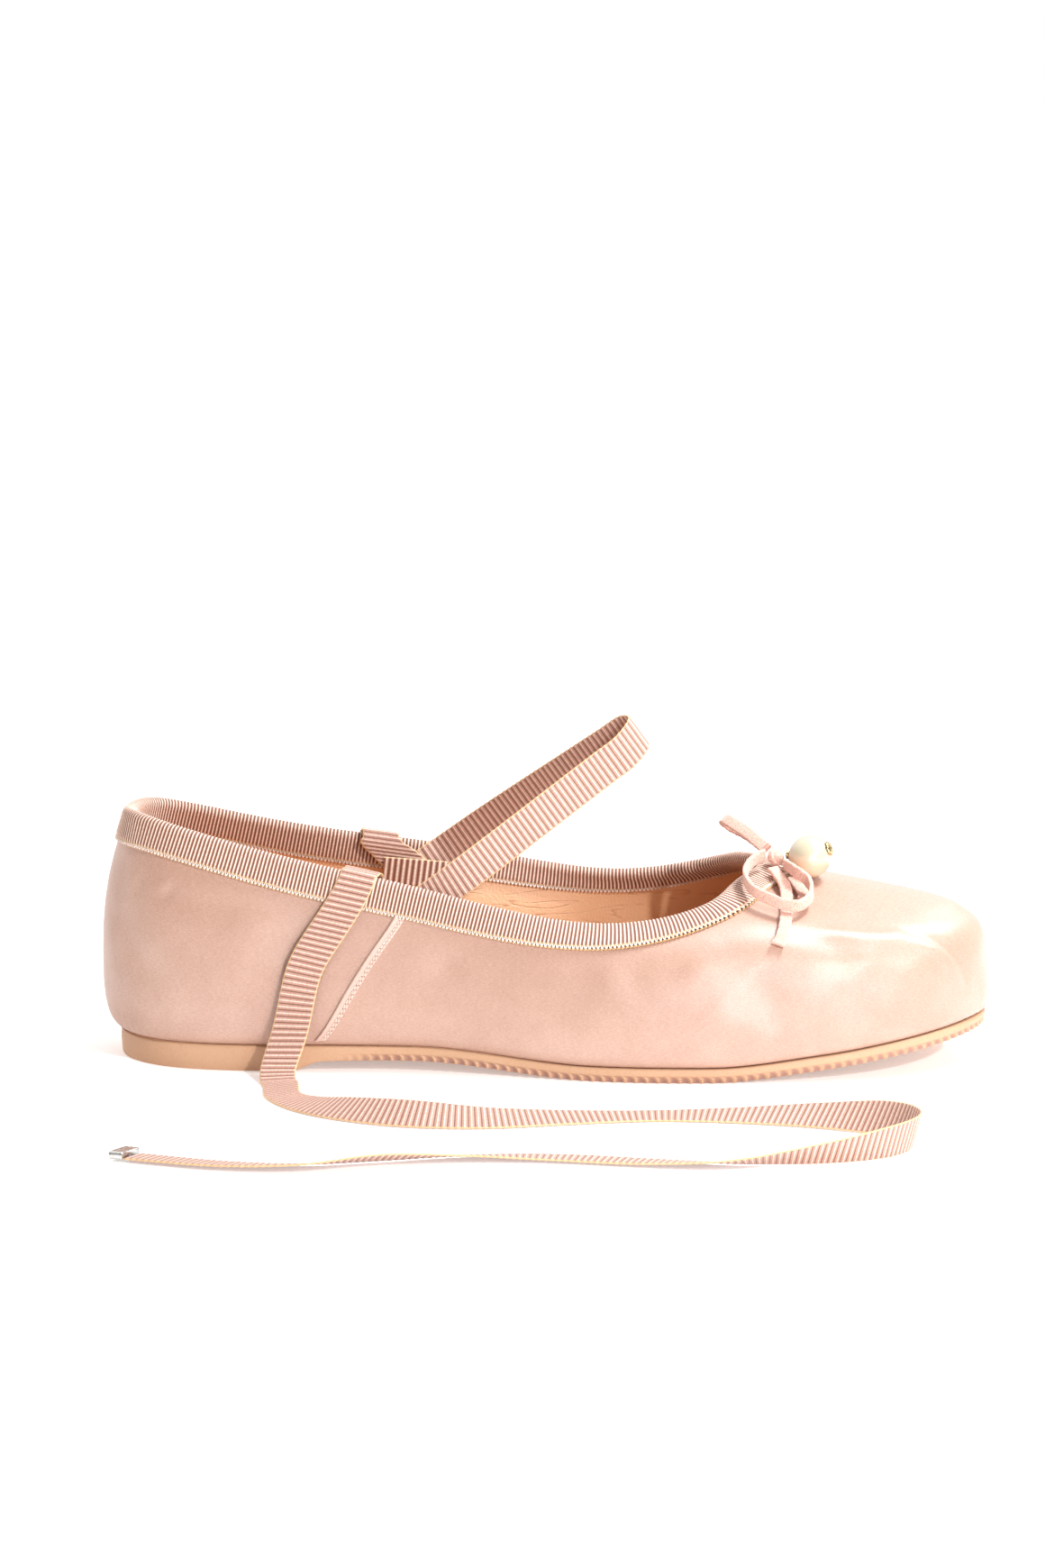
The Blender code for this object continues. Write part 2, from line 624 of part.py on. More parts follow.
def make_side_seam(side, satin):
    """The raised seam between vamp and quarter, a strip that follows the wall."""
    at_top, at_foot = SEAM_AROUND[side]
    profile = wall_surface([at_top], FINE_STEPS)[:, 0]
    gone = np.concatenate([[0], np.cumsum(np.linalg.norm(np.diff(profile, axis=0), axis=1))])
    end = np.interp(gone[-1] - BINDING_DEPTH - CLEARANCE, gone, FINE_STEPS)
    sections = []
    for step in np.linspace(SEAM_FOOT, end, 14):
        middle = at_foot + (at_top - at_foot) * step
        ahead = wall_surface([middle - 1e-3, middle + 1e-3], [step])[0]
        half = SEAM_WIDTH / 2 * 2e-3 / np.linalg.norm(ahead[1] - ahead[0])
        edges = np.array([middle - half, middle, middle + half])
        points = wall_surface(edges, [step])[0]
        normals = surface_normals(edges, [step])[0]
        low = points + normals * CLEARANCE
        raised = np.array([0.6, 1.0, 0.6])[:, None] * SEAM_THICKNESS
        high = points + normals * (CLEARANCE + raised)
        sections.append(np.vstack([low, high[::-1]]))
    return strip_solid(f"side_seam_{side}", np.stack(sections), satin)


def on_vamp(places):
    """Points of the upper's outside, or of the topline nearest to it, and its outward normals,
    over places in plan."""
    around, steps = np.linspace(0.25, 0.75, 201), np.linspace(0.2, 1.0, 121)
    spots = wall_surface(around, steps).reshape(-1, 3)
    normals = surface_normals(around, steps).reshape(-1, 3)
    points, faces_to = [], []
    for place in np.asarray(places, float):
        away = ((spots[:, :2] - place) ** 2).sum(axis=1)
        near = np.argsort(away)[:4]
        weight = 1 / (away[near] + 1e-4)
        weight = weight / weight.sum()
        points.append([*place, weight @ spots[near, 2]])
        faces_to.append(weight @ normals[near])
    return np.array(points), unit(np.array(faces_to))


def over_vamp(rows, along_normal=False):
    """Points from rows of along, out and lift, in shares of BOW_SIZE from the throat's middle,
    and the vamp's normals there. The lift goes straight up, or away from the surface."""
    rows = np.asarray(rows, float) * BOW_SIZE
    points, normals = on_vamp(rows[:, :2] + [SECTIONS[TOE_ROW, 2], 0.0])
    way = normals if along_normal else np.array([[0.0, 0.0, 1.0]])
    return points + way * rows[:, 2:], normals


def square_across(faces_to, way, width):
    """Half-width vectors that lie square to a ribbon's way."""
    return unit(np.cross(faces_to, way)) * width / 2


def ribbon_sections(points, across, thickness):
    """Outlines along a ribbon, from its middle line and its half-width vectors."""
    way = unit(np.gradient(points, axis=0))
    skin = unit(np.cross(way, across)) * thickness / 2
    return np.stack([points - across - skin, points + across - skin,
                     points + across + skin, points - across + skin], axis=1)


def place_of(side, along):
    """How far round the shoe the topline reaches a length along, on the outer or inner side."""
    share = np.linspace(0.04, 0.45, 400)
    around = share if side == "outer" else 1 - share
    top = periodic_spline(KNOTS, SECTIONS, around)[:, 2]
    return float(np.interp(along, top, around))


def collar_layer(side, rows, layer):
    """Points beside the collar, the way they face, and the way the collar runs there. Rows hold
    along and drop in millimetres and how far they are over the edge, from 0 inside, through 0.5
    on top, to 1 outside; layer is the height over the binding."""
    points, faces_to, runs = [], [], []
    over = BINDING_GAP + BINDING_THICKNESS + layer
    for along, drop, face in rows:
        ends = [place_of(side, along - 0.5), place_of(side, along), place_of(side, along + 0.5)]
        spots, normals, ups = below_topline(ends, [drop])
        spot, normal, up = spots[0, 1], normals[0, 1], ups[0, 1]
        runs.append(spots[0, 2] - spots[0, 0])
        turn = np.pi * face
        away = up * np.sin(turn) - normal * np.cos(turn)
        points.append(spot - normal * UPPER_WALL / 2 + away * (UPPER_WALL / 2 + over))
        faces_to.append(away)
    return np.array(points), np.array(faces_to), unit(np.array(runs))


def make_keeper(side, grosgrain):
    """The short tab sewn inside the collar that holds the strap and the tie."""
    middle = STRAP_ALONG * SOLE_LENGTH - STRAP_TUCK
    offsets = np.linspace(-0.5, 0.5, 9) * KEEPER_LENGTH
    layer = TIE_LAYER + (RIBBON_THICKNESS + BINDING_THICKNESS) / 2 + 2 * CLEARANCE
    points, faces_to, runs = collar_layer(
        side, [(middle + s, KEEPER_DROP, 0) for s in offsets], layer)
    across = square_across(faces_to, runs, KEEPER_WIDTH)
    return strip_solid(f"keeper_{side}",
                       ribbon_sections(points, across, BINDING_THICKNESS), grosgrain)


def strap_line():
    """The middle line of the strap and its half-width vectors, from the outer side over."""
    along = STRAP_ALONG * SOLE_LENGTH
    layer = CLEARANCE + STRAP_EASE / 2 + RIBBON_THICKNESS / 2
    tuck = [(along - STRAP_TUCK, KEEPER_DROP, 0), (along - STRAP_TUCK / 2, KEEPER_DROP / 2, 0),
            (along, 0.0, 0)]
    slope = np.radians(STRAP_SLOPE_DEG)
    ahead = np.array([np.cos(slope), 0.0, np.sin(slope)])
    upright = np.array([-np.sin(slope), 0.0, np.cos(slope)])
    lines, widths = {}, {}
    for side, sign in (("outer", -1), ("inner", 1)):
        line, faces_to, _ = collar_layer(side, tuck, layer)
        wide = square_across(faces_to, unit(np.gradient(line, axis=0)), 2.0) * sign
        reach = np.array([share for share, _ in STRAP_BEND])[:, None] * STRAP_RISE
        bend = line[-1] * [1, 0, 1] + ahead * reach
        bend[:, 1] = [line[-1, 1] * out for _, out in STRAP_BEND]
        lines[side] = np.vstack([line, bend])
        widths[side] = np.vstack([wide, np.repeat([upright], len(bend), axis=0)])
    tip = (lines["outer"][-1] + lines["inner"][-1]) / 2 + ahead * STRAP_TIP_RADIUS
    line = np.vstack([lines["outer"], tip, lines["inner"][::-1]])
    wide = np.vstack([widths["outer"], upright, widths["inner"][::-1]])
    both = open_spline(np.hstack([line, wide]), 68)
    return both[:, :3], unit(both[:, 3:]) * RIBBON_WIDTH / 2


def make_strap(grosgrain):
    """The ribbon over the instep, held up in the form it has on a foot."""
    points, across = strap_line()
    return strip_solid("instep_strap", ribbon_sections(points, across, RIBBON_THICKNESS),
                       grosgrain)


def tie_line(side):
    """The middle line of a tie and its half-width vectors, from the keeper to its end. Over the
    collar the ribbon is folded along the collar, so its vectors run that way there."""
    sign = -1 if side == "outer" else 1
    middle = STRAP_ALONG * SOLE_LENGTH - STRAP_TUCK
    inside = [(middle + lead, drop, face) for lead, drop, face in TIE_OVER if face < 0.5]
    outside = [(middle + lead, drop, face) for lead, drop, face in TIE_OVER if face >= 0.5]
    high, _, high_runs = collar_layer(side, inside, TIE_LAYER)
    low, _, low_runs = collar_layer(side, outside, CLEARANCE + RIBBON_THICKNESS / 2)
    rows = np.array(TIE_FLOOR[side], float)
    lean = np.radians(rows[:, 2])[:, None]
    floor = np.column_stack([rows[:, :2], np.zeros(len(rows))])
    beside = np.cross([0, 0, 1], unit(np.gradient(floor, axis=0))) * -sign
    lying = beside * np.cos(lean) + np.array([0, 0, 1]) * np.sin(lean)
    drop = np.array([low[-1] * [1, 1, 0] + [on, sign * out, up] for on, out, up in TIE_DROP])
    line = np.vstack([high, low, drop, floor])
    runs = np.vstack([high_runs, low_runs, np.repeat([[1.0, 0.0, 0.0]], len(drop), axis=0), lying])
    both = open_spline(np.hstack([line, runs]), 96, 1.0)
    points, runs = both[:, :3], unit(both[:, 3:])
    skew = np.linalg.norm(np.cross(runs, unit(np.gradient(points, axis=0))), axis=1)
    across = runs * (RIBBON_WIDTH / 2 / skew)[:, None]
    rest = np.abs(across[:, 2]) + RIBBON_THICKNESS / 2 + FLOOR_GAP
    points[:, 2] = np.maximum(points[:, 2], rest)
    return points, across


def make_tie(side, grosgrain):
    """An ankle tie: a ribbon from the keeper over the collar and down, laid on the floor."""
    points, across = tie_line(side)
    return strip_solid(f"ankle_tie_{side}",
                       ribbon_sections(points, across, RIBBON_THICKNESS), grosgrain)


def make_tie_tip(side, metal):
    """The metal end that clamps a tie, a little wider than the ribbon."""
    points, across = tie_line(side)
    way = unit(points[-1] - points[-2])
    lift = (TIP_THICKNESS - RIBBON_THICKNESS) / 2 + np.abs(across[-1, 2]) * TIP_EDGE / RIBBON_WIDTH
    start = points[-1] + way * CLEARANCE + [0, 0, lift]
    skin = unit(np.cross(way, across[-1]))
    half = unit(across[-1]) * (RIBBON_WIDTH + TIP_EDGE) / 2
    sections = []
    for gone, size in ((0.0, 0.0), (0.15, 1.0), (0.85, 1.0), (1.0, 0.0)):
        wide = half - unit(half) * TIP_EDGE / 2 * (1 - size)
        thick = skin * (TIP_THICKNESS - TIP_EDGE * (1 - size)) / 2
        middle = start + way * TIP_LENGTH * gone
        sections.append([middle - wide - thick, middle + wide - thick,
                         middle + wide + thick, middle - wide + thick])
    return strip_solid(f"tie_tip_{side}", np.array(sections), metal)


def knot_centre():
    """The middle of the bow's knot, which rests on the binding at the throat."""
    spot = over_vamp([(*KNOT_PLACE, 0.0)])[0][0]
    rest = BINDING_GAP + CLEARANCE + BINDING_THICKNESS + KNOT_HEIGHT / 2 + KNOT_LIFT
    return spot + [0, 0, rest]


def make_bow(lace):
    """The lace bow: a knot, two loops that stand on edge and two tails that lie on the vamp."""
    ball = bmesh.new()
    bmesh.ops.create_uvsphere(ball, u_segments=14, v_segments=8, radius=0.5)
    size = np.array([KNOT_LENGTH, KNOT_WIDTH, KNOT_HEIGHT])
    points = np.array([v.co[:] for v in ball.verts]) * size + knot_centre()
    faces = [[v.index for v in f.verts] for f in ball.faces]
    ball.free()
    new_object("bow_knot", points, faces, lace)
    for side, rows in BOW_LOOPS.items():
        line = open_spline(over_vamp(rows)[0], 30)
        way = unit(np.gradient(line, axis=0))
        edge = np.array([LOOP_EDGE[side]]) - way * (way @ LOOP_EDGE[side])[:, None]
        strip_solid(f"bow_loop_{side}",
                    ribbon_sections(line, unit(edge) * LACE_WIDTH / 2, LACE_THICKNESS), lace)
    for side, rows in BOW_TAILS.items():
        points, normals = over_vamp(rows, along_normal=True)
        both = open_spline(np.hstack([points, normals]), 14)
        across = square_across(both[:, 3:], unit(np.gradient(both[:, :3], axis=0)), LACE_WIDTH)
        strip_solid(f"bow_tail_{side}", ribbon_sections(both[:, :3], across, LACE_THICKNESS), lace)


def lathe(name, profile, centre, axis, metal):
    """A round solid from rows of radius and length along an axis, closed at both ends."""
    axis = unit(np.asarray(axis, float))
    side = unit(np.cross(axis, [0.0, 0.3, 1.0]))
    other = np.cross(axis, side)
    turn = np.linspace(0, 2 * np.pi, 16, endpoint=False)
    rings = [centre + axis * far + radius * (np.outer(np.cos(turn), side)
                                             + np.outer(np.sin(turn), other))
             for radius, far in profile]
    return strip_solid(name, np.stack(rings), metal)


def make_pearl(pearl_finish, metal):
    """The pearl that hangs from the bow, with a plain cap and a pin to the knot."""
    spot = over_vamp([(*PEARL_PLACE, 0.0)])[0][0]
    radius = PEARL_DIAMETER / 2
    centre = spot + [0, 0, radius * PEARL_SEAT + CLEARANCE]
    ball = bmesh.new()
    bmesh.ops.create_uvsphere(ball, u_segments=22, v_segments=12, radius=radius)
    points = np.array([v.co[:] for v in ball.verts]) + centre
    faces = [[v.index for v in f.verts] for f in ball.faces]
    ball.free()
    new_object("pearl", points, faces, pearl_finish)
    cap = PEARL_CAP_DIAMETER / 2
    near = radius + CLEARANCE
    lathe("pearl_cap",
          [(cap, near), (cap, near + PEARL_CAP_HEIGHT / 2), (cap * 0.7, near + PEARL_CAP_HEIGHT)],
          centre, PEARL_CAP_WAY, metal)
    pin_way = knot_centre() + [0, 0, PIN_RISE] - centre
    reach = np.linalg.norm(pin_way) - KNOT_LENGTH / 2 - 2 * CLEARANCE
    lathe("pearl_pin",
          [(PIN_FOOT / 2, near), (PIN_FOOT / 2, near + 0.4), (PIN_DIAMETER / 2, near + 0.5),
           (PIN_DIAMETER / 2, reach)],
          centre, pin_way, metal)


def main():
    """Clears the scene and makes every piece."""
    for old in list(bpy.data.objects):
        bpy.data.objects.remove(old, do_unlink=True)
    satin = material("pink_satin", (0.80, 0.58, 0.51), 0.42)
    rubber = material("tan_rubber", (0.70, 0.46, 0.32), 0.55)
    leather = material("tan_leather", (0.72, 0.47, 0.31), 0.50)
    grosgrain = material("rose_grosgrain", (0.60, 0.39, 0.33), 0.80)
    lace = material("pale_pink_lace", (0.80, 0.55, 0.48), 0.75)
    pearl_finish = material("cream_pearl", (0.80, 0.74, 0.60), 0.22)
    metal = material("silver_metal", (0.72, 0.70, 0.68), 0.25, 1.0)

    make_outsole(rubber)
    make_insole(leather)
    make_upper(satin)
    make_binding(grosgrain)
    make_strap(grosgrain)
    for side in ("outer", "inner"):
        make_side_seam(side, satin)
        make_keeper(side, grosgrain)
        make_tie(side, grosgrain)
        make_tie_tip(side, metal)
    make_bow(lace)
    make_pearl(pearl_finish, metal)


main()
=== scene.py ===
"""The satin ballet flat's looks: finer pieces, finishes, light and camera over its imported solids.

Shapes are worked out in millimetres forwards from the back of the sole, as the solids' source
does, and new_piece turns them into the row frame's metres.
"""

import bmesh
import bpy
import numpy as np
from mathutils import Matrix


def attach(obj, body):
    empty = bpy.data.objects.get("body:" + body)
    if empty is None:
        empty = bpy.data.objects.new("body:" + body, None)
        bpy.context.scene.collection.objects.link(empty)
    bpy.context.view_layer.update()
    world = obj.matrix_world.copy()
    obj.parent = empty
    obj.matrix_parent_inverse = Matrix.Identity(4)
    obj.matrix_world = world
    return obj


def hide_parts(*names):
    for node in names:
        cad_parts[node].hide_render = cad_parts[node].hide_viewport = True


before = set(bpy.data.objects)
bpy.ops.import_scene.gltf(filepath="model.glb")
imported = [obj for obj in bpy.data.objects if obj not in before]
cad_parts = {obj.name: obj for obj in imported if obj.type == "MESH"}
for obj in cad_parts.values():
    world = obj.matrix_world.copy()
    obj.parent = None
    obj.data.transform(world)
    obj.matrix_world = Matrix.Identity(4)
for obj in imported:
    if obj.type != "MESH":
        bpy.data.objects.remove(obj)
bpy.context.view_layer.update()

MM = 0.001

# Lengths and widths of the last
SOLE_LENGTH = 242.0
HEEL_WIDTH = 57.0
WAIST_WIDTH = 53.5
BALL_WIDTH = 79.5
TOE_WIDTH = 47.0
OPENING_WIDTH = 65.5

# Heights above the floor
BACK_HEIGHT = 68.5
SIDE_HEIGHT = 42.0
THROAT_HEIGHT = 54.0

# Sole
HEEL_THICKNESS = 7.2
FOREFOOT_THICKNESS = 4.1
ARCH_LIFT = 3.2
TOE_SPRING = 9.8
SOLE_MARGIN = 0.8
RIB_PITCH = 3.0
RIB_DEPTH = 0.8
RIB_SLANT = 1.0

# Upper
UPPER_WALL = 1.8
OVERHANG = 7.0
CLEARANCE = 0.3

# Collar binding
BINDING_DEPTH = 7.0
BINDING_THICKNESS = 0.7
BINDING_GAP = 0.45

# Side seams
SEAM_WIDTH = 3.0

# Ribbon of the strap and the ties
RIBBON_WIDTH = 10.0
RIBBON_THICKNESS = 0.7
STRAP_RISE = 70.0
STRAP_SLOPE_DEG = 35.8
STRAP_TIP_RADIUS = 4.0
STRAP_TUCK = 11.0
STRAP_EASE = 0.9
KEEPER_DROP = 8.0
KEEPER_LENGTH = 17.0
KEEPER_WIDTH = 8.0
TIP_LENGTH = 4.0
TIP_THICKNESS = 2.2
TIP_EDGE = 0.6
FLOOR_GAP = 0.1

# Bow and pearl
BOW_SIZE = 17.0
LACE_WIDTH = 3.4
LACE_THICKNESS = 1.2
KNOT_LENGTH = 5.6
KNOT_WIDTH = 5.0
KNOT_HEIGHT = 5.2
KNOT_LIFT = 0.5
PEARL_DIAMETER = 12.0
PEARL_CAP_DIAMETER = 4.0
PIN_FOOT = 2.6
PIN_DIAMETER = 1.0
PIN_RISE = 1.0

# How far the tie's middle lies from the binding inside the collar, with the strap between them
TIE_LAYER = 2 * CLEARANCE + STRAP_EASE + 1.5 * RIBBON_THICKNESS

WIDTHS = {"heel": HEEL_WIDTH, "waist": WAIST_WIDTH, "ball": BALL_WIDTH, "toe": TOE_WIDTH}
HEIGHTS = {"back": BACK_HEIGHT, "side": SIDE_HEIGHT, "throat": THROAT_HEIGHT}

# The feather line, where the upper meets the sole, round the shoe from the back of the heel.
FEATHER = [
    # section, along as a share of SOLE_LENGTH, width it follows, out as a share of that width
    ("heel_back", 0.000, "heel", 0.000),
    ("heel_outer", 0.042, "heel", -0.361),
    ("quarter_outer", 0.162, "heel", -0.500),
    ("waist_outer", 0.362, "waist", -0.548),
    ("joint_outer", 0.598, "ball", -0.500),
    ("vamp_outer", 0.790, "ball", -0.459),
    ("corner_outer", 0.944, "toe", -0.485),
    ("toe_front", 1.000, "toe", 0.040),
    ("corner_inner", 0.953, "toe", 0.510),
    ("vamp_inner", 0.820, "ball", 0.465),
    ("joint_inner", 0.651, "ball", 0.497),
    ("waist_inner", 0.383, "waist", 0.449),
    ("quarter_inner", 0.167, "heel", 0.491),
    ("heel_inner", 0.039, "heel", 0.370),
]

# The topline, the edge of the opening, with the same sections.
TOPLINE = [
    # section, along as a share of SOLE_LENGTH, out as a share of OPENING_WIDTH,
    # height it follows, up as a share of that height
    ("heel_back", 0.007, 0.000, "back", 1.000),
    ("heel_outer", 0.033, -0.281, "back", 1.002),
    ("quarter_outer", 0.161, -0.403, "back", 0.889),
    ("waist_outer", 0.350, -0.449, "back", 0.739),
    ("joint_outer", 0.566, -0.487, "side", 0.993),
    ("vamp_outer", 0.690, -0.366, "side", 1.110),
    ("corner_outer", 0.725, -0.154, "throat", 0.950),
    ("toe_front", 0.748, 0.015, "throat", 1.000),
    ("corner_inner", 0.728, 0.183, "throat", 1.008),
    ("vamp_inner", 0.687, 0.398, "throat", 0.943),
    ("joint_inner", 0.580, 0.513, "side", 1.088),
    ("waist_inner", 0.362, 0.452, "back", 0.768),
    ("quarter_inner", 0.155, 0.405, "back", 0.885),
    ("heel_inner", 0.029, 0.281, "back", 0.984),
]

# The shape of the wall between the two lines. The same row serves the outer and the inner side.
WALL = {
    # section: roll out, belly out, shoulder out, as shares of OVERHANG;
    # belly up, shoulder up, as shares of the wall's height there;
    # crown in, as a share of the way to the topline; crown lift, as a share of the height
    "heel_back": (0.74, 0.89, 0.72, 0.29, 0.65, 0.51, 0.010),
    "heel": (0.58, 0.76, 0.60, 0.30, 0.66, 0.50, 0.005),
    "quarter": (0.36, 0.52, 0.42, 0.30, 0.66, 0.50, 0.000),
    "waist": (0.30, 0.48, 0.40, 0.30, 0.66, 0.50, 0.010),
    "joint": (0.26, 0.44, 0.28, 0.30, 0.68, 0.50, 0.050),
    "vamp": (0.20, 0.42, 0.27, 0.27, 0.73, 0.44, 0.070),
    "corner": (0.20, 0.36, 0.26, 0.25, 0.69, 0.33, 0.000),
    "toe_front": (0.43, 0.21, 0.21, 0.19, 0.73, 0.28, -0.005),
}

# The sole's profile from the side.
SOLE_PROFILE = [
    # place, along as a share of SOLE_LENGTH, arch as a share of ARCH_LIFT,
    # spring as a share of TOE_SPRING, heel as a share of the heel's extra thickness
    ("heel_back", 0.000, 0.0, 0.00, 1.0),
    ("heel_front", 0.205, 0.0, 0.00, 1.0),
    ("breast", 0.245, 0.9, 0.00, 0.1),
    ("waist", 0.350, 1.0, 0.00, 0.0),
    ("tread_back", 0.560, 0.0, 0.00, 0.0),
    ("tread_front", 0.690, 0.0, 0.00, 0.0),
    ("toe_bend", 0.816, 0.0, 0.30, 0.0),
    ("toe_rise", 0.920, 0.0, 0.68, 0.0),
    ("toe_front", 1.000, 0.0, 1.00, 0.0),
]

# How finely the pieces are drawn
TURN_WEIGHT = 0.7
UPPER_COLUMNS = 440
UPPER_ROWS = 76
LINING_ROWS = 24
RIB_SAMPLES = 6
SOLE_SAMPLES = 8
HEEL_COLUMNS = 60
SEAM_SAMPLES = 8
FINE_STEPS = np.linspace(0.0, 1.0, 61)

# Ribs and stitches: how far apart and how deep. The ribs are about as far apart as in the photo,
# 1.0 and 1.8 mm.
BINDING_RIB = 1.05
BINDING_RIB_DEPTH = 0.24
RIBBON_RIB = 1.75
RIBBON_RIB_DEPTH = 0.17
SEAM_STITCH = 1.1
RIBS_TO_FULL_DEPTH = 5

# The loops along the binding's edges, the thread that holds them, and the side seams' stitches:
# the arch of each, then how far out over the wall and how far down from the edge it lies
PICOT_LOOP = {"Arch Length": 0.66, "Arch Reach": 1.55, "Arch Lift": 0.12,
              "Thread Diameter": 0.38}
SEWING_LOOP = {"Arch Length": 0.95, "Arch Reach": 0.0, "Arch Lift": 0.16,
               "Thread Diameter": 0.50}
SEAM_LOOP = {"Arch Length": 0.84, "Arch Reach": 0.0, "Arch Lift": 0.18,
             "Thread Diameter": 0.32}
PICOT_OUT, PICOT_DOWN = 0.34, 0.05
SEWING_OUT, SEWING_DOWN, SEWING_LEAN = 0.22, 0.78, 0.25
SEAM_STITCH_OUT = 0.02
SEAM_HOLE_DEPTH = 0.16

# The little ring beside the bow: where, how high over the vamp, which way it faces, how big
GOLD_RING_PLACE = (186.0, -9.0)
GOLD_RING_LIFT = 1.6
GOLD_RING_WAY = (0.45, -0.80, 0.40)
GOLD_RING_RADIUS = 1.1
GOLD_RING_WIRE = 0.6

# A tie's free part, from and to along it, how far the ease spreads and how far it fades in and out
TIE_FREE = (22.0, 110.0)
TIE_EASE = 4.0
TIE_FADE = (8.0, 20.0)

# Where the side seams run, as shares of the way round at the topline and at the feather line.
SEAM_AROUND = {"outer": (0.1835, 0.127), "inner": (0.8110, 0.873)}
SEAM_FOOT = 0.08

# Where the strap comes out of the collar, as a share of SOLE_LENGTH, and how it closes towards
# its tip: share of STRAP_RISE, out as a share of its distance from the middle at the collar.
STRAP_ALONG = 0.370
STRAP_BEND = [(0.20, 0.93), (0.42, 0.72), (0.64, 0.47), (0.82, 0.27), (0.93, 0.15)]

# How a tie goes over the collar: lead over the keeper's middle and drop below the topline in
# millimetres, and how far over the edge it is, as collar_layer reads them.
TIE_OVER = [
    (0.5, 8.5, 0), (-3.5, 4.0, 0), (-6.8, 0.0, 0), (-7.4, 0.0, 0.25), (-8.0, 0.0, 0.5),
    (-8.6, 0.0, 0.75), (-9.2, 0.0, 1),
    (-11.5, 5.0, 1), (-15.5, 12.0, 1), (-20.0, 20.0, 1), (-24.0, 28.0, 1),
]
# How it leaves the wall for the floor: on from the last of these, outwards and up.
TIE_DROP = [(-3.5, 0.9, 13.0), (-6.0, 3.0, 5.5), (-7.0, 8.5, 1.6)]

# The ties after they reach the floor: along and out in millimetres, and how far the ribbon leans
# up on its edge, in degrees. The points are listed one by one.
TIE_FLOOR = {
    "outer": [
        (50.0, -50.0, 8), (52.0, -63.0, 4), (60.0, -77.0, 14), (73.0, -88.0, 28),
        (90.0, -95.0, 34), (110.0, -95.0, 22), (131.0, -89.0, 10), (153.0, -84.0, 4),
        (176.0, -85.0, 12), (199.0, -91.0, 32), (217.0, -102.0, 60), (224.0, -117.0, 74),
        (217.0, -131.0, 70), (200.0, -140.0, 46), (178.0, -142.0, 18), (155.0, -138.0, 5),
        (131.0, -134.0, 4), (108.0, -136.0, 12), (86.0, -143.0, 22), (66.0, -148.0, 12),
        (45.0, -146.0, 6), (21.0, -138.0, 4),
    ],
    "inner": [
        (58.0, 50.0, 8), (64.0, 62.0, 4), (76.0, 74.0, 14), (92.0, 81.0, 28),
        (111.0, 82.0, 34), (132.0, 78.0, 20), (154.0, 74.0, 8), (177.0, 76.0, 4),
        (199.0, 83.0, 16), (217.0, 94.0, 42), (224.0, 109.0, 68), (217.0, 123.0, 74),
        (201.0, 131.0, 52), (179.0, 131.0, 24), (156.0, 126.0, 6), (133.0, 124.0, 4),
        (110.0, 128.0, 12), (88.0, 134.0, 22), (66.0, 136.0, 12), (45.0, 131.0, 5),
        (24.0, 122.0, 4), (5.0, 111.0, 4),
    ],
}

# The bow's lace: along, out and lift over the vamp, in shares of BOW_SIZE from the throat.
KNOT_PLACE = (0.19, -0.18)
BOW_LOOPS = {
    "outer": [
        (0.01, -0.38, 0.36), (-0.12, -0.52, 0.36), (-0.25, -0.75, 0.33), (-0.29, -1.01, 0.29),
        (-0.15, -1.39, 0.29), (0.11, -1.56, 0.28), (0.40, -1.64, 0.26), (0.63, -1.59, 0.26),
        (0.79, -1.27, 0.27), (0.75, -1.00, 0.35), (0.52, -0.82, 0.41), (0.35, -0.44, 0.29),
    ],
    "inner": [
        (0.00, -0.07, 0.33), (-0.27, 0.18, 0.47), (-0.52, 0.43, 0.58), (-0.66, 0.65, 0.64),
        (-0.69, 0.86, 0.61), (-0.56, 0.85, 0.50), (-0.27, 0.58, 0.36), (0.04, 0.16, 0.22),
    ],
}
BOW_TAILS = {
    "outer": [
        (0.12, -0.40, 0.19), (0.25, -0.58, 0.16), (0.35, -0.80, 0.11), (0.39, -1.20, 0.07),
        (0.39, -1.63, 0.07), (0.36, -1.92, 0.07), (0.28, -2.10, 0.07),
    ],
    "inner": [(0.45, -0.48, 0.12), (0.57, -0.67, 0.09), (0.66, -0.87, 0.07), (0.67, -1.02, 0.07)],
}
# The way across the lace in each loop.
LOOP_EDGE = {"outer": (0.0, -0.20, 0.98), "inner": (0.72, 0.22, 0.66)}

# The pearl: along and out in the same shares, its seat as a share of its radius, and the way
# its cap faces.
PEARL_PLACE = (0.75, -0.26)
PEARL_SEAT = 1.07
PEARL_CAP_WAY = (0.88, -0.20, 0.42)


def spline_bends(knots, values):
    """How much a closed smooth curve bends at each of its knots, from 0 to under 1."""
    count = len(knots)
    rows = np.vstack([values, values[:1]])
    step = np.diff(np.append(knots, 1.0))
    matrix = np.zeros((count, count))
    right = np.zeros((count, rows.shape[1]))
    for i in range(count):
        before, after = step[i - 1], step[i]
        matrix[i, i - 1] += before
        matrix[i, i] += 2 * (before + after)
        matrix[i, (i + 1) % count] += after
        rise = (rows[i + 1] - rows[i]) / after
        fall = (rows[i] - rows[i - 1 if i else count - 1]) / before
        right[i] = 6 * (rise - fall)
    bend = np.linalg.solve(matrix, right)
    return np.vstack([bend, bend[:1]])


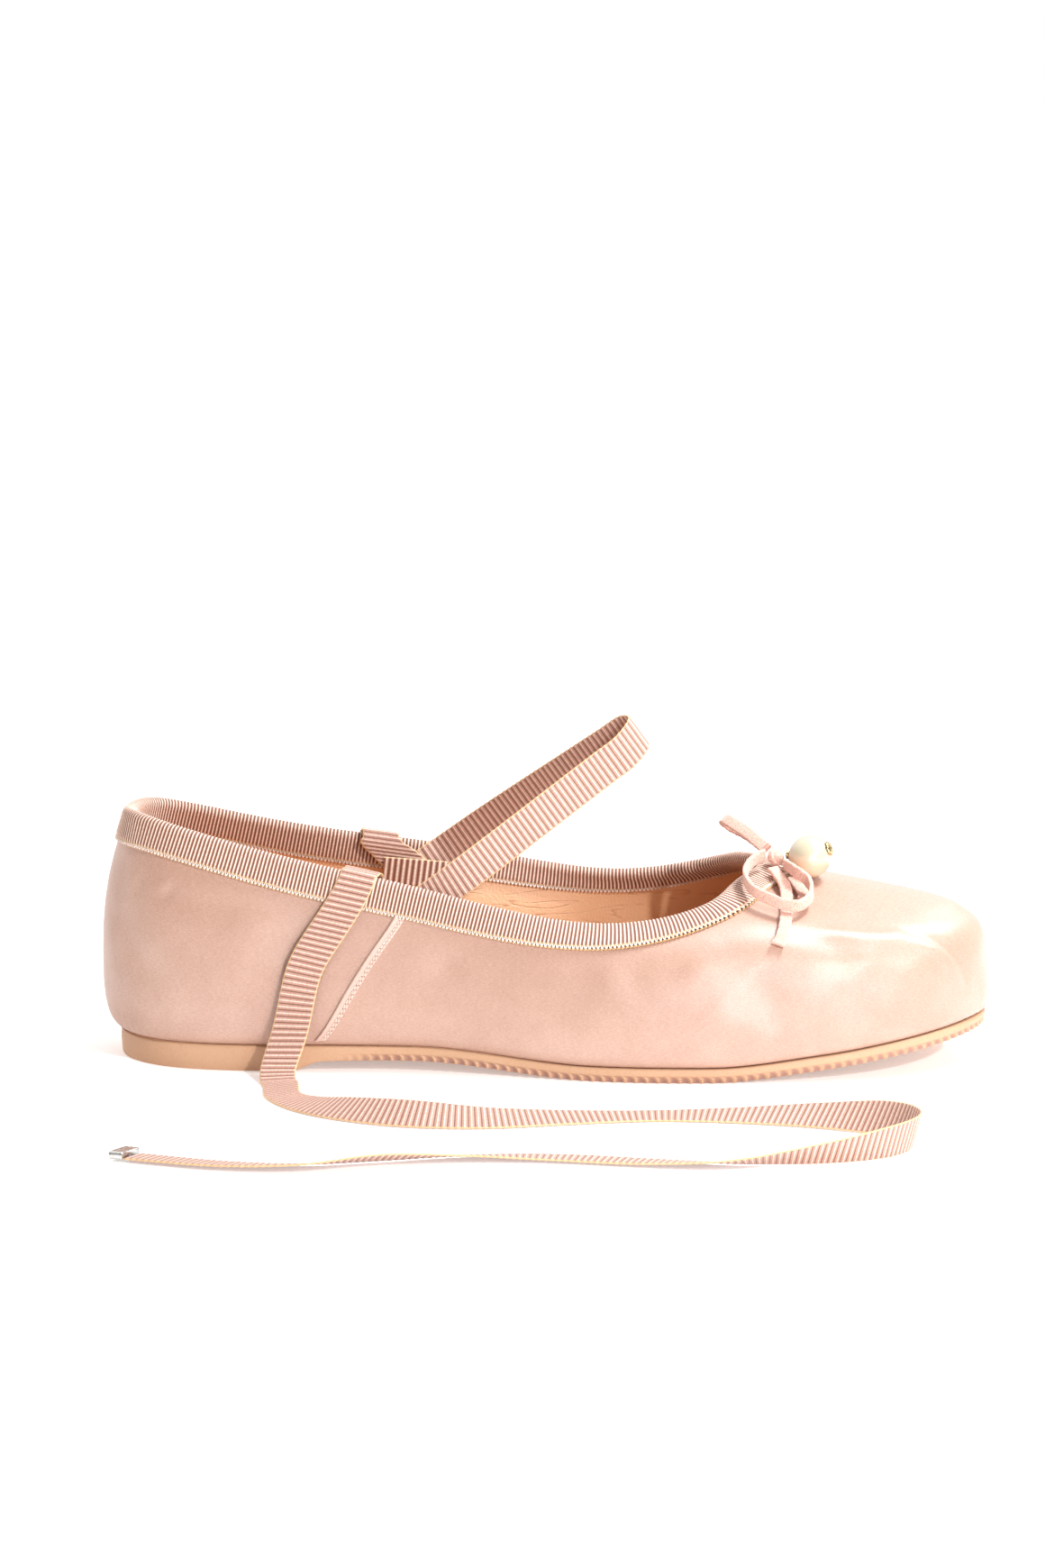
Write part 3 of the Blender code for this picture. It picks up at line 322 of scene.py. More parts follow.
def sections_at(around):
    """The numbers of section_rows at any places round the shoe, on a closed smooth curve."""
    ends = np.append(KNOTS, 1.0)
    rows = np.vstack([SECTIONS, SECTIONS[:1]])
    step = np.diff(ends)
    at = np.mod(around, 1.0)
    k = np.clip(np.searchsorted(ends, at, side="right") - 1, 0, len(KNOTS) - 1)
    left = (ends[k + 1] - at)[:, None]
    gone = (at - ends[k])[:, None]
    h = step[k][:, None]
    curve = (BENDS[k] * left**3 + BENDS[k + 1] * gone**3) / (6 * h)
    curve += (rows[k] / h - BENDS[k] * h / 6) * left
    curve += (rows[k + 1] / h - BENDS[k + 1] * h / 6) * gone
    return curve


def steady_curve(at, places, values):
    """A smooth curve through values that never swings past them, and is level between equals."""
    places, values = np.asarray(places, float), np.asarray(values, float)
    slope = np.diff(values) / np.diff(places)
    tangent = np.zeros(len(values))
    for i in range(1, len(values) - 1):
        if slope[i - 1] * slope[i] > 0:
            tangent[i] = 2 * slope[i - 1] * slope[i] / (slope[i - 1] + slope[i])
    tangent[0], tangent[-1] = slope[0], slope[-1]
    at = np.clip(at, places[0], places[-1])
    k = np.clip(np.searchsorted(places, at, side="right") - 1, 0, len(places) - 2)
    h = places[k + 1] - places[k]
    t = (at - places[k]) / h
    return (
        values[k] * (1 + 2 * t) * (1 - t) ** 2
        + tangent[k] * h * t * (1 - t) ** 2
        + values[k + 1] * t**2 * (3 - 2 * t)
        + tangent[k + 1] * h * t**2 * (t - 1)
    )


def open_spline(points, count, turn_weight=0.0):
    """count points along a smooth open curve through points, evenly spaced, or closer together
    where it turns."""
    points = np.asarray(points, float)
    rows = np.vstack([2 * points[0] - points[1], points, 2 * points[-1] - points[-2]])
    t = np.linspace(0, 1, 24, endpoint=False)[:, None]
    parts = []
    for a, b, c, d in zip(rows, rows[1:], rows[2:], rows[3:]):
        parts.append(
            0.5 * (2 * b + (c - a) * t + (2 * a - 5 * b + 4 * c - d) * t**2
                   + (3 * b - a - 3 * c + d) * t**3)
        )
    line = np.vstack(parts + [points[-1:]])
    step = np.linalg.norm(np.diff(line[:, :3], axis=0), axis=1)
    way = unit(np.gradient(line[:, :3], axis=0))
    turned = np.linalg.norm(np.diff(way, axis=0), axis=1)
    share = step / step.sum() + turn_weight * turned / turned.sum()
    gone = np.concatenate([[0], np.cumsum(share)])
    at = np.linspace(0, gone[-1], count)
    return np.stack([np.interp(at, gone, line[:, k]) for k in range(line.shape[1])], axis=1)


def unit(vectors):
    """The same vectors, each one long."""
    return vectors / np.linalg.norm(vectors, axis=-1, keepdims=True)


def section_rows():
    """One row of numbers for each section: feather line, topline and wall shape."""
    rows = []
    for (name, along, width, out), (_, top_along, top_out, height, up) in zip(FEATHER, TOPLINE):
        kind = name if name in WALL else name.rsplit("_", 1)[0]
        rows.append(
            [along * SOLE_LENGTH, out * WIDTHS[width]]
            + [top_along * SOLE_LENGTH, top_out * OPENING_WIDTH, up * HEIGHTS[height]]
            + list(WALL[kind])
        )
    return np.array(rows)


def section_knots(rows):
    """How far round the feather line each section lies, from 0 to under 1."""
    closed = np.vstack([rows[:, :2], rows[:1, :2]])
    steps = np.linalg.norm(np.diff(closed, axis=0), axis=1)
    return np.concatenate([[0], np.cumsum(steps)[:-1]]) / steps.sum()


SECTIONS = section_rows()
KNOTS = section_knots(SECTIONS)
BENDS = spline_bends(KNOTS, SECTIONS)
TOE_ROW = [row[0] for row in FEATHER].index("toe_front")
TOE_AROUND = KNOTS[TOE_ROW]


def sole_bottom(x):
    """Height of the sole's underside above the floor."""
    places = [row[1] * SOLE_LENGTH for row in SOLE_PROFILE]
    lift = [row[2] * ARCH_LIFT + row[3] * TOE_SPRING for row in SOLE_PROFILE]
    return steady_curve(x, places, lift)


def sole_top(x):
    """Height of the sole's upper face above the floor."""
    places = [row[1] * SOLE_LENGTH for row in SOLE_PROFILE]
    extra = HEEL_THICKNESS - FOREFOOT_THICKNESS
    thick = [FOREFOOT_THICKNESS + row[4] * extra for row in SOLE_PROFILE]
    return sole_bottom(x) + steady_curve(x, places, thick)


def feather(around, out=0.0):
    """Points of the feather line in plan, moved outwards by out, and the outward directions."""
    around = np.asarray(around, float)
    step = 1e-4
    here = sections_at(around)[:, :2]
    ahead = sections_at(around + step)[:, :2]
    back = sections_at(around - step)[:, :2]
    way = unit(ahead - back)
    outward = np.stack([way[:, 1], -way[:, 0]], axis=1)
    return here + outward * out, outward


def spline_weights(steps, count, degree=3):
    """What each of count control points weighs at each step of a clamped uniform B-spline."""
    inner = np.linspace(0, 1, count - degree + 1)
    knots = np.concatenate([[0.0] * degree, inner, [1.0] * degree])
    steps = np.clip(np.asarray(steps, float), 0, 1 - 1e-9)
    weights = ((steps[:, None] >= knots[:-1]) & (steps[:, None] < knots[1:])).astype(float)
    for d in range(1, degree + 1):
        rise = knots[d:-1] - knots[:-d - 1]
        fall = knots[d + 1:] - knots[1:-d]
        up = np.where(rise > 0, (steps[:, None] - knots[:-d - 1]) / np.where(rise > 0, rise, 1), 0)
        down = np.where(fall > 0, (knots[d + 1:] - steps[:, None]) / np.where(fall > 0, fall, 1), 0)
        weights = weights[:, :-1] * up + weights[:, 1:] * down
    return weights


def wall_controls(around):
    """The control points of the wall's outline at places round the shoe."""
    row = sections_at(around)
    low, outward = feather(around)
    base = sole_top(low[:, 0]) + CLEARANCE
    height = row[:, 4] - base
    top = row[:, 2:5]

    def beside(out_share, up_share):
        plan = low + outward * (OVERHANG * out_share)[:, None]
        return np.column_stack([plan, base + up_share * height])

    foot = np.column_stack([low, base])
    roll = beside(row[:, 5], 0.02 + 0 * base)
    belly = beside(row[:, 6], row[:, 8])
    shoulder = beside(row[:, 7], row[:, 9])
    crown = shoulder + (top - shoulder) * row[:, 10:11]
    crown[:, 2] += row[:, 11] * height
    return np.stack([foot, roll, belly, shoulder, crown, top])


def wall_surface(around, steps):
    """The outside of the upper: points[step, around] from the feather line to the topline."""
    return np.einsum("sc,cnk->snk", spline_weights(steps, 6), wall_controls(np.asarray(around)))


def wall_points(around, steps):
    """Points of the outside of the upper, one for each pair of a place and a step."""
    return np.einsum("nc,cnk->nk", spline_weights(steps, 6), wall_controls(np.asarray(around)))


def wall_facing(around, steps):
    """The outward normal and the way up the wall, for each pair of a place and a step."""
    small = 1e-4
    ahead = wall_points(around + small, steps) - wall_points(around - small, steps)
    low, high = np.clip(steps - small, 0, 1), np.clip(steps + small, 0, 1 - 1e-9)
    upward = wall_points(around, high) - wall_points(around, low)
    return unit(np.cross(ahead, upward)), unit(upward)


def surface_normals(around, steps):
    """Outward unit normals of wall_surface at the same places."""
    pairs = np.meshgrid(np.asarray(around, float), np.asarray(steps, float))
    return wall_facing(pairs[0].ravel(), pairs[1].ravel())[0].reshape(*pairs[0].shape, 3)


def below_topline(around, drops):
    """Points, normals and upward directions of the wall, drops millimetres below the topline."""
    around = np.atleast_1d(np.asarray(around, float))
    fine = wall_surface(around, FINE_STEPS)
    length = np.linalg.norm(np.diff(fine, axis=0), axis=2)
    to_top = np.vstack([np.cumsum(length[::-1], axis=0)[::-1], np.zeros((1, len(around)))])
    steps = np.stack([np.interp(-np.asarray(drops, float), -to_top[:, i], FINE_STEPS)
                      for i in range(len(around))], axis=1)
    places = np.broadcast_to(around, steps.shape).ravel()
    normals, ups = wall_facing(places, steps.ravel())
    shape = (*steps.shape, 3)
    points = wall_points(places, steps.ravel())
    return points.reshape(shape), normals.reshape(shape), ups.reshape(shape)


def middle_of_shoe():
    """The point on the floor under the middle of the upper, which is the frame's origin."""
    plan = wall_surface(np.linspace(0, 1, 361), np.linspace(0, 1, 31)).reshape(-1, 3)[:, :2]
    return np.array([*(plan.min(axis=0) + plan.max(axis=0)) / 2, 0.0])


ORIGIN = middle_of_shoe()
GIRTH = np.linalg.norm(np.diff(feather(np.linspace(0, 1, 721))[0], axis=0), axis=1).sum()


# Below here the shapes become Blender objects.


def ring_places(count):
    """Places round the shoe, closer together where the outline turns."""
    fine = np.linspace(0, 1, 1201)
    plan, outward = feather(fine)
    gone = np.linalg.norm(np.diff(plan, axis=0), axis=1)
    turned = np.linalg.norm(np.diff(outward, axis=0), axis=1)
    share = gone / gone.sum() + TURN_WEIGHT * turned / turned.sum()
    reach = np.concatenate([[0], np.cumsum(share)])
    return np.interp(np.linspace(0, reach[-1], count, endpoint=False), reach, fine)


def lengths(points):
    """How far along a line of points each one lies."""
    steps = np.linalg.norm(np.diff(points, axis=0), axis=1)
    return np.concatenate([[0], np.cumsum(steps)])


def resampled(rows, count):
    """count rows evenly spaced along a line whose first three columns are its points."""
    gone = lengths(rows[:, :3])
    at = np.linspace(0, gone[-1], count)
    return np.stack([np.interp(at, gone, rows[:, k]) for k in range(rows.shape[1])], axis=1)


def new_piece(name, points, faces, finishes, slots=None, uvs=None, marks=None, smooth_deg=50.0):
    """A mesh object from points in millimetres. slots gives each face's finish, uvs each corner's
    place on the flat piece in millimetres, and marks a number for each point."""
    mesh = bpy.data.meshes.new(name)
    mesh.from_pydata(((np.asarray(points, float) - ORIGIN) * MM).tolist(), [], faces)
    for finish in finishes:
        mesh.materials.append(finish)
    if slots is not None:
        mesh.polygons.foreach_set("material_index", slots)
    if uvs is not None:
        layer = mesh.uv_layers.new(name="flat_mm")
        layer.data.foreach_set("uv", np.concatenate([np.ravel(row) for row in uvs]))
    for mark, values in (marks or {}).items():
        mesh.attributes.new(mark, "FLOAT", "POINT").data.foreach_set("value", np.ravel(values))
    edit = bmesh.new()
    edit.from_mesh(mesh)
    bmesh.ops.recalc_face_normals(edit, faces=edit.faces)
    edit.to_mesh(mesh)
    edit.free()
    mesh.shade_smooth()
    mesh.set_sharp_from_angle(angle=np.radians(smooth_deg))
    made = bpy.data.objects.new(name, mesh)
    bpy.context.scene.collection.objects.link(made)
    return made


def put(piece, slot, *nodes):
    """The piece rides on the shoe's one body and stands for CAD nodes. Its slot is not used."""
    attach(piece, "root")
    if nodes:
        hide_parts(*nodes)
    return piece


def ring_piece(name, rings, girths, heights, finishes, slots=None, marks=None):
    """A closed solid round the shoe from rings[r, n]. girths is how far round each column is and
    heights how far along the outline each ring is, for the flat places."""
    count, length = rings.shape[:2]
    faces, uvs, chosen = [], [], []
    around = np.append(girths, girths[-1] + girths[1])
    for r in range(count):
        after = (r + 1) % count
        for n in range(length):
            beside = (n + 1) % length
            faces.append([r * length + n, r * length + beside,
                          after * length + beside, after * length + n])
            uvs.append([around[n], heights[r], around[n + 1], heights[r],
                        around[n + 1], heights[r + 1], around[n], heights[r + 1]])
            chosen.append(slots[r] if slots is not None else 0)
    return new_piece(name, rings.reshape(-1, 3), faces, finishes, chosen, uvs, marks)


def strip_piece(name, sections, finishes, marks=None, smooth_deg=50.0, around=None, slots=None):
    """A closed solid along a path from sections[s, m], with its two ends capped."""
    count, sides = sections.shape[:2]
    run = lengths(sections.mean(axis=1))
    outline = sections[count // 2]
    edge = lengths(np.vstack([outline, outline[:1]])) if around is None else around
    faces = [list(range(sides))[::-1], [(count - 1) * sides + m for m in range(sides)]]
    uvs = [[v for m in range(sides)[::-1] for v in (run[0], edge[m])],
           [v for m in range(sides) for v in (run[-1], edge[m])]]
    chosen = [0, 0]
    for s in range(count - 1):
        for m in range(sides):
            beside = (m + 1) % sides
            faces.append([s * sides + m, s * sides + beside,
                          (s + 1) * sides + beside, (s + 1) * sides + m])
            uvs.append([run[s], edge[m], run[s], edge[m + 1],
                        run[s + 1], edge[m + 1], run[s + 1], edge[m]])
            chosen.append(slots[m] if slots is not None else 0)
    return new_piece(name, sections.reshape(-1, 3), faces, finishes, chosen, uvs, marks,
                     smooth_deg)


def on_vamp(places):
    """Points of the upper's outside, or of the topline nearest to it, and its outward normals,
    over places in plan."""
    around, steps = np.linspace(0.25, 0.75, 201), np.linspace(0.2, 1.0, 121)
    spots = wall_surface(around, steps).reshape(-1, 3)
    normals = surface_normals(around, steps).reshape(-1, 3)
    points, faces_to = [], []
    for place in np.asarray(places, float):
        away = ((spots[:, :2] - place) ** 2).sum(axis=1)
        near = np.argsort(away)[:4]
        weight = 1 / (away[near] + 1e-4)
        weight = weight / weight.sum()
        points.append([*place, weight @ spots[near, 2]])
        faces_to.append(weight @ normals[near])
    return np.array(points), unit(np.array(faces_to))


def over_vamp(rows, along_normal=False):
    """Points from rows of along, out and lift, in shares of BOW_SIZE from the throat's middle,
    and the vamp's normals there. The lift goes straight up, or away from the surface."""
    rows = np.asarray(rows, float) * BOW_SIZE
    points, normals = on_vamp(rows[:, :2] + [SECTIONS[TOE_ROW, 2], 0.0])
    way = normals if along_normal else np.array([[0.0, 0.0, 1.0]])
    return points + way * rows[:, 2:], normals


def square_across(faces_to, way, width):
    """Half-width vectors that lie square to a ribbon's way."""
    return unit(np.cross(faces_to, way)) * width / 2


def place_of(side, along):
    """How far round the shoe the topline reaches a length along, on the outer or inner side."""
    share = np.linspace(0.04, 0.45, 400)
    around = share if side == "outer" else 1 - share
    top = sections_at(around)[:, 2]
    return float(np.interp(along, top, around))


def collar_layer(side, rows, layer):
    """Points beside the collar, the way they face, and the way the collar runs there. Rows hold
    along and drop in millimetres and how far they are over the edge, from 0 inside, through 0.5
    on top, to 1 outside; layer is the height over the binding."""
    points, faces_to, runs = [], [], []
    over = BINDING_GAP + BINDING_THICKNESS + layer
    for along, drop, face in rows:
        ends = [place_of(side, along - 0.5), place_of(side, along), place_of(side, along + 0.5)]
        spots, normals, ups = below_topline(ends, [drop])
        spot, normal, up = spots[0, 1], normals[0, 1], ups[0, 1]
        runs.append(spots[0, 2] - spots[0, 0])
        turn = np.pi * face
        away = up * np.sin(turn) - normal * np.cos(turn)
        points.append(spot - normal * UPPER_WALL / 2 + away * (UPPER_WALL / 2 + over))
        faces_to.append(away)
    return np.array(points), np.array(faces_to), unit(np.array(runs))


def strap_line():
    """The middle line of the strap and its half-width vectors, from the outer side over."""
    along = STRAP_ALONG * SOLE_LENGTH
    layer = CLEARANCE + STRAP_EASE / 2 + RIBBON_THICKNESS / 2
    tuck = [(along - STRAP_TUCK, KEEPER_DROP, 0), (along - STRAP_TUCK / 2, KEEPER_DROP / 2, 0),
            (along, 0.0, 0)]
    slope = np.radians(STRAP_SLOPE_DEG)
    ahead = np.array([np.cos(slope), 0.0, np.sin(slope)])
    upright = np.array([-np.sin(slope), 0.0, np.cos(slope)])
    lines, widths = {}, {}
    for side, sign in (("outer", -1), ("inner", 1)):
        line, faces_to, _ = collar_layer(side, tuck, layer)
        wide = square_across(faces_to, unit(np.gradient(line, axis=0)), 2.0) * sign
        reach = np.array([share for share, _ in STRAP_BEND])[:, None] * STRAP_RISE
        bend = line[-1] * [1, 0, 1] + ahead * reach
        bend[:, 1] = [line[-1, 1] * out for _, out in STRAP_BEND]
        lines[side] = np.vstack([line, bend])
        widths[side] = np.vstack([wide, np.repeat([upright], len(bend), axis=0)])
    tip = (lines["outer"][-1] + lines["inner"][-1]) / 2 + ahead * STRAP_TIP_RADIUS
    line = np.vstack([lines["outer"], tip, lines["inner"][::-1]])
    wide = np.vstack([widths["outer"], upright, widths["inner"][::-1]])
    both = open_spline(np.hstack([line, wide]), 600)
    return both[:, :3], unit(both[:, 3:]) * RIBBON_WIDTH / 2


def tie_line(side):
    """The middle line of a tie and its half-width vectors, from the keeper to its end. Over the
    collar the ribbon is folded along the collar, so its vectors run that way there."""
    sign = -1 if side == "outer" else 1
    middle = STRAP_ALONG * SOLE_LENGTH - STRAP_TUCK
    inside = [(middle + lead, drop, face) for lead, drop, face in TIE_OVER if face < 0.5]
    outside = [(middle + lead, drop, face) for lead, drop, face in TIE_OVER if face >= 0.5]
    high, _, high_runs = collar_layer(side, inside, TIE_LAYER)
    low, _, low_runs = collar_layer(side, outside, CLEARANCE + RIBBON_THICKNESS / 2)
    rows = np.array(TIE_FLOOR[side], float)
    lean = np.radians(rows[:, 2])[:, None]
    floor = np.column_stack([rows[:, :2], np.zeros(len(rows))])
    beside = np.cross([0, 0, 1], unit(np.gradient(floor, axis=0))) * -sign
    lying = beside * np.cos(lean) + np.array([0, 0, 1]) * np.sin(lean)
    drop = np.array([low[-1] * [1, 1, 0] + [on, sign * out, up] for on, out, up in TIE_DROP])
    line = np.vstack([high, low, drop, floor])
    runs = np.vstack([high_runs, low_runs, np.repeat([[1.0, 0.0, 0.0]], len(drop), axis=0), lying])
    both = open_spline(np.hstack([line, runs]), 1500, 1.0)
    both = resampled(both, 1500)
    gone = lengths(both[:, :3])
    spread = gone[-1] / (len(gone) - 1)
    reach = int(3 * TIE_EASE / spread)
    weight = np.exp(-0.5 * (np.arange(-reach, reach + 1) * spread / TIE_EASE) ** 2)
    padded = np.pad(both, ((reach, reach), (0, 0)), mode="edge")
    eased = np.stack([np.convolve(padded[:, k], weight / weight.sum(), "valid")
                      for k in range(6)], axis=1)
    share = np.clip((gone - TIE_FREE[0]) / TIE_FADE[0], 0, 1)
    share = share * np.clip((TIE_FREE[1] - gone) / TIE_FADE[1], 0, 1)
    both += (eased - both) * share[:, None]
    points, runs = both[:, :3], unit(both[:, 3:])
    skew = np.linalg.norm(np.cross(runs, unit(np.gradient(points, axis=0))), axis=1)
    across = runs * (RIBBON_WIDTH / 2 / skew)[:, None]
    rest = np.abs(across[:, 2]) + RIBBON_THICKNESS / 2 + FLOOR_GAP
    points[:, 2] = np.maximum(points[:, 2], rest)
    return points, across


def knot_centre():
    """The middle of the bow's knot, which rests on the binding at the throat."""
    spot = over_vamp([(*KNOT_PLACE, 0.0)])[0][0]
    rest = BINDING_GAP + CLEARANCE + BINDING_THICKNESS + KNOT_HEIGHT / 2 + KNOT_LIFT
    return spot + [0, 0, rest]


# Creases in the satin: a line over the wall as places round the shoe and steps up it, how wide
# and how deep in millimetres (a ridge where the depth is negative), and how much it heaps up on
# its front side.
CREASES = [
    # name, line, width, depth, heap
    ("toe_box_fold", [(0.447, 0.74), (0.455, 0.64), (0.462, 0.50), (0.468, 0.34)], 1.7, 0.85, 0.9),
    ("toe_box_ridge", [(0.405, 0.82), (0.428, 0.75), (0.446, 0.71)], 2.4, -0.70, 0.3),
    ("toe_box_inner", [(0.575, 0.74), (0.566, 0.62), (0.558, 0.48)], 1.9, 0.70, 0.7),
    ("toe_top_pull", [(0.470, 0.76), (0.500, 0.70), (0.530, 0.73)], 3.2, 0.40, 0.5),
    ("toe_side_pull", [(0.432, 0.66), (0.418, 0.52), (0.400, 0.40)], 3.4, 0.35, 0.7),
    ("vamp_dent", [(0.352, 0.62), (0.360, 0.44), (0.372, 0.27)], 6.0, 1.05, 0.6),
    ("vamp_lift", [(0.326, 0.76), (0.332, 0.60)], 5.0, -0.60, 0.0),
    ("throat_pull", [(0.385, 0.84), (0.400, 0.70), (0.405, 0.55)], 5.0, 0.50, 0.4),
    ("joint_fold", [(0.265, 0.78), (0.270, 0.60), (0.262, 0.40)], 6.0, 0.45, 0.4),
    ("joint_pull", [(0.300, 0.80), (0.296, 0.64), (0.305, 0.50)], 4.2, 0.35, 0.5),
    ("waist_fold", [(0.205, 0.72), (0.196, 0.52), (0.187, 0.36)], 4.5, 0.40, 0.4),
    ("quarter_dent", [(0.133, 0.72), (0.122, 0.58), (0.110, 0.46)], 7.5, 1.00, 0.5),
    ("quarter_lift", [(0.098, 0.74), (0.092, 0.52), (0.096, 0.34)], 5.5, -0.55, 0.0),
    ("quarter_pull", [(0.120, 0.80), (0.085, 0.74), (0.055, 0.72)], 3.0, 0.35, 0.5),
    ("heel_pucker_a", [(0.062, 0.80), (0.057, 0.70)], 1.5, 0.34, 0.6),
    ("heel_pucker_b", [(0.043, 0.79), (0.040, 0.68)], 1.4, 0.30, 0.6),
    ("heel_dent", [(0.028, 0.62), (0.040, 0.44), (0.060, 0.30)], 5.5, 0.65, 0.4),
    ("heel_foot", [(0.020, 0.17), (0.055, 0.15), (0.095, 0.16)], 2.8, 0.35, 0.5),
    ("heel_inner_dent", [(0.965, 0.62), (0.950, 0.44), (0.935, 0.32)], 6.0, 0.70, 0.4),
    ("quarter_inner_dent", [(0.892, 0.70), (0.900, 0.52), (0.905, 0.38)], 7.0, 0.85, 0.4),
    ("waist_inner_fold", [(0.800, 0.74), (0.806, 0.55), (0.815, 0.38)], 5.0, 0.45, 0.4),
    ("joint_inner_fold", [(0.730, 0.80), (0.735, 0.60), (0.742, 0.40)], 6.0, 0.50, 0.4),
    ("vamp_inner_dent", [(0.640, 0.64), (0.645, 0.46), (0.650, 0.30)], 6.5, 0.90, 0.5),
]
# Fine gathers where the satin turns under at the toe and the heel: from and to round the shoe,
# how many, and how deep in millimetres.
GATHERS = [("toe", 0.425, 0.585, 34, 0.16), ("heel_outer", 0.0, 0.075, 16, 0.10),
           ("heel_inner", 0.925, 1.0, 16, 0.10)]
CREASE_EASE = 5.0


def creased(points, normals, around, steps):
    """The wall's points pushed in and out along their normals by the creases and gathers. The
    binding and the side seams keep the plain wall under them."""
    push = np.zeros(points.shape[:2])
    for _, line, width, depth, heap in CREASES:
        both = open_spline(np.column_stack([line, np.zeros(len(line))]), 24)
        spots = wall_points(both[:, 0], both[:, 1])
        way = np.gradient(spots, axis=0)
        gap = points.reshape(-1, 1, 3) - spots
        away = np.linalg.norm(gap, axis=2)
        near = away.argmin(axis=1)
        rows = np.arange(len(near))
        side = np.cross(way[near], normals.reshape(-1, 3))
        across = (gap[rows, near] * unit(side)).sum(axis=1)
        far = away[rows, near]
        reach = np.clip(np.sin(np.pi * (near + 0.5) / len(spots)), 0, 1) ** 0.6
        sign = np.where(across < 0, -1.0, 1.0)
        bump = -depth * np.exp(-((far / width) ** 2))
        bump += depth * heap * np.exp(-(((far * sign - 1.9 * width) / (1.3 * width)) ** 2))
        push += (bump * reach).reshape(push.shape)
    for _, start, end, count, depth in GATHERS:
        share = np.clip((around - start) / (end - start), 0, 1)
        inside = np.sin(np.pi * share) ** 0.7 * ((share > 0) & (share < 1))
        wave = np.cos(2 * np.pi * count * share + 1.3 * np.sin(9 * share)) * inside
        low = np.exp(-((np.asarray(steps) - 0.06) / 0.09) ** 2)
        push += depth * low[:, None] * wave[None, :]
    to_top = np.stack([lengths(points[::-1, n])[::-1] for n in range(len(around))], axis=1)
    ease = np.clip((to_top - BINDING_DEPTH - 0.5) / CREASE_EASE, 0, 1)
    for at_top, at_foot in SEAM_AROUND.values():
        line = at_foot + (at_top - at_foot) * np.asarray(steps)[:, None]
        far = np.abs(around[None, :] - line) * GIRTH
        ease = np.minimum(ease, np.clip((far - SEAM_WIDTH / 2 - 0.3) / CREASE_EASE, 0, 1))
    ease = ease * np.clip(np.asarray(steps)[:, None] / 0.05, 0, 1)
    ease = ease * ease * (3 - 2 * ease)
    return points + normals * (push * ease)[:, :, None]


def make_upper(satin, lining):
    """The upper: satin outside with its creases, leather inside."""
    around = ring_places(UPPER_COLUMNS)
    steps = np.linspace(0, 1, UPPER_ROWS)
    points, normals = wall_surface(around, steps), surface_normals(around, steps)
    outside = creased(points, normals, around, steps)
    inner_steps = np.linspace(0, 1, LINING_ROWS)
    inside = wall_surface(around, inner_steps)
    inside = inside - surface_normals(around, inner_steps) * UPPER_WALL
    rings = np.concatenate([outside, inside[::-1]])
    plan = points[UPPER_ROWS // 2]
    girths = lengths(plan)
    heights = lengths(np.vstack([rings[:, 0], rings[:1, 0]]))
    slots = [0] * (UPPER_ROWS - 1) + [1] * (LINING_ROWS + 1)
    return ring_piece("satin_upper", rings, girths, heights, [satin, lining], slots)


def across_collar(drops, samples):
    """Points of the wall at drops below the topline, the last one on it, their outward normals
    and the way up, in columns that run square to the topline, so many to each of the binding's
    ribs."""
    points, normals, ups = below_topline(np.arange(1440) / 1440, drops)
    top = points[-1]
    gone = lengths(np.vstack([top, top[:1]]))
    runs = unit(np.roll(top, -1, axis=0) - np.roll(top, 1, axis=0))
    count = int(round(gone[-1] / BINDING_RIB)) * samples
    at = np.arange(count) / count * gone[-1]
    rows = []
    for row in range(len(drops)):
        reached = gone[:-1] + ((points[row] - top) * runs).sum(axis=1)
        laps = np.concatenate([reached - gone[-1], reached, reached + gone[-1]])
        laps = np.maximum.accumulate(laps)
        known = np.tile(np.hstack([points[row], normals[row], ups[row], runs]), (3, 1))
        rows.append(np.stack([np.interp(at, laps, known[:, k]) for k in range(12)], axis=1))
    rows = np.stack(rows)
    normals, runs = unit(rows[..., 3:6]), unit(rows[..., 9:])
    ups = rows[..., 6:9] - runs * (rows[..., 6:9] * runs).sum(axis=-1, keepdims=True)
    return rows[..., :3], normals, unit(ups)


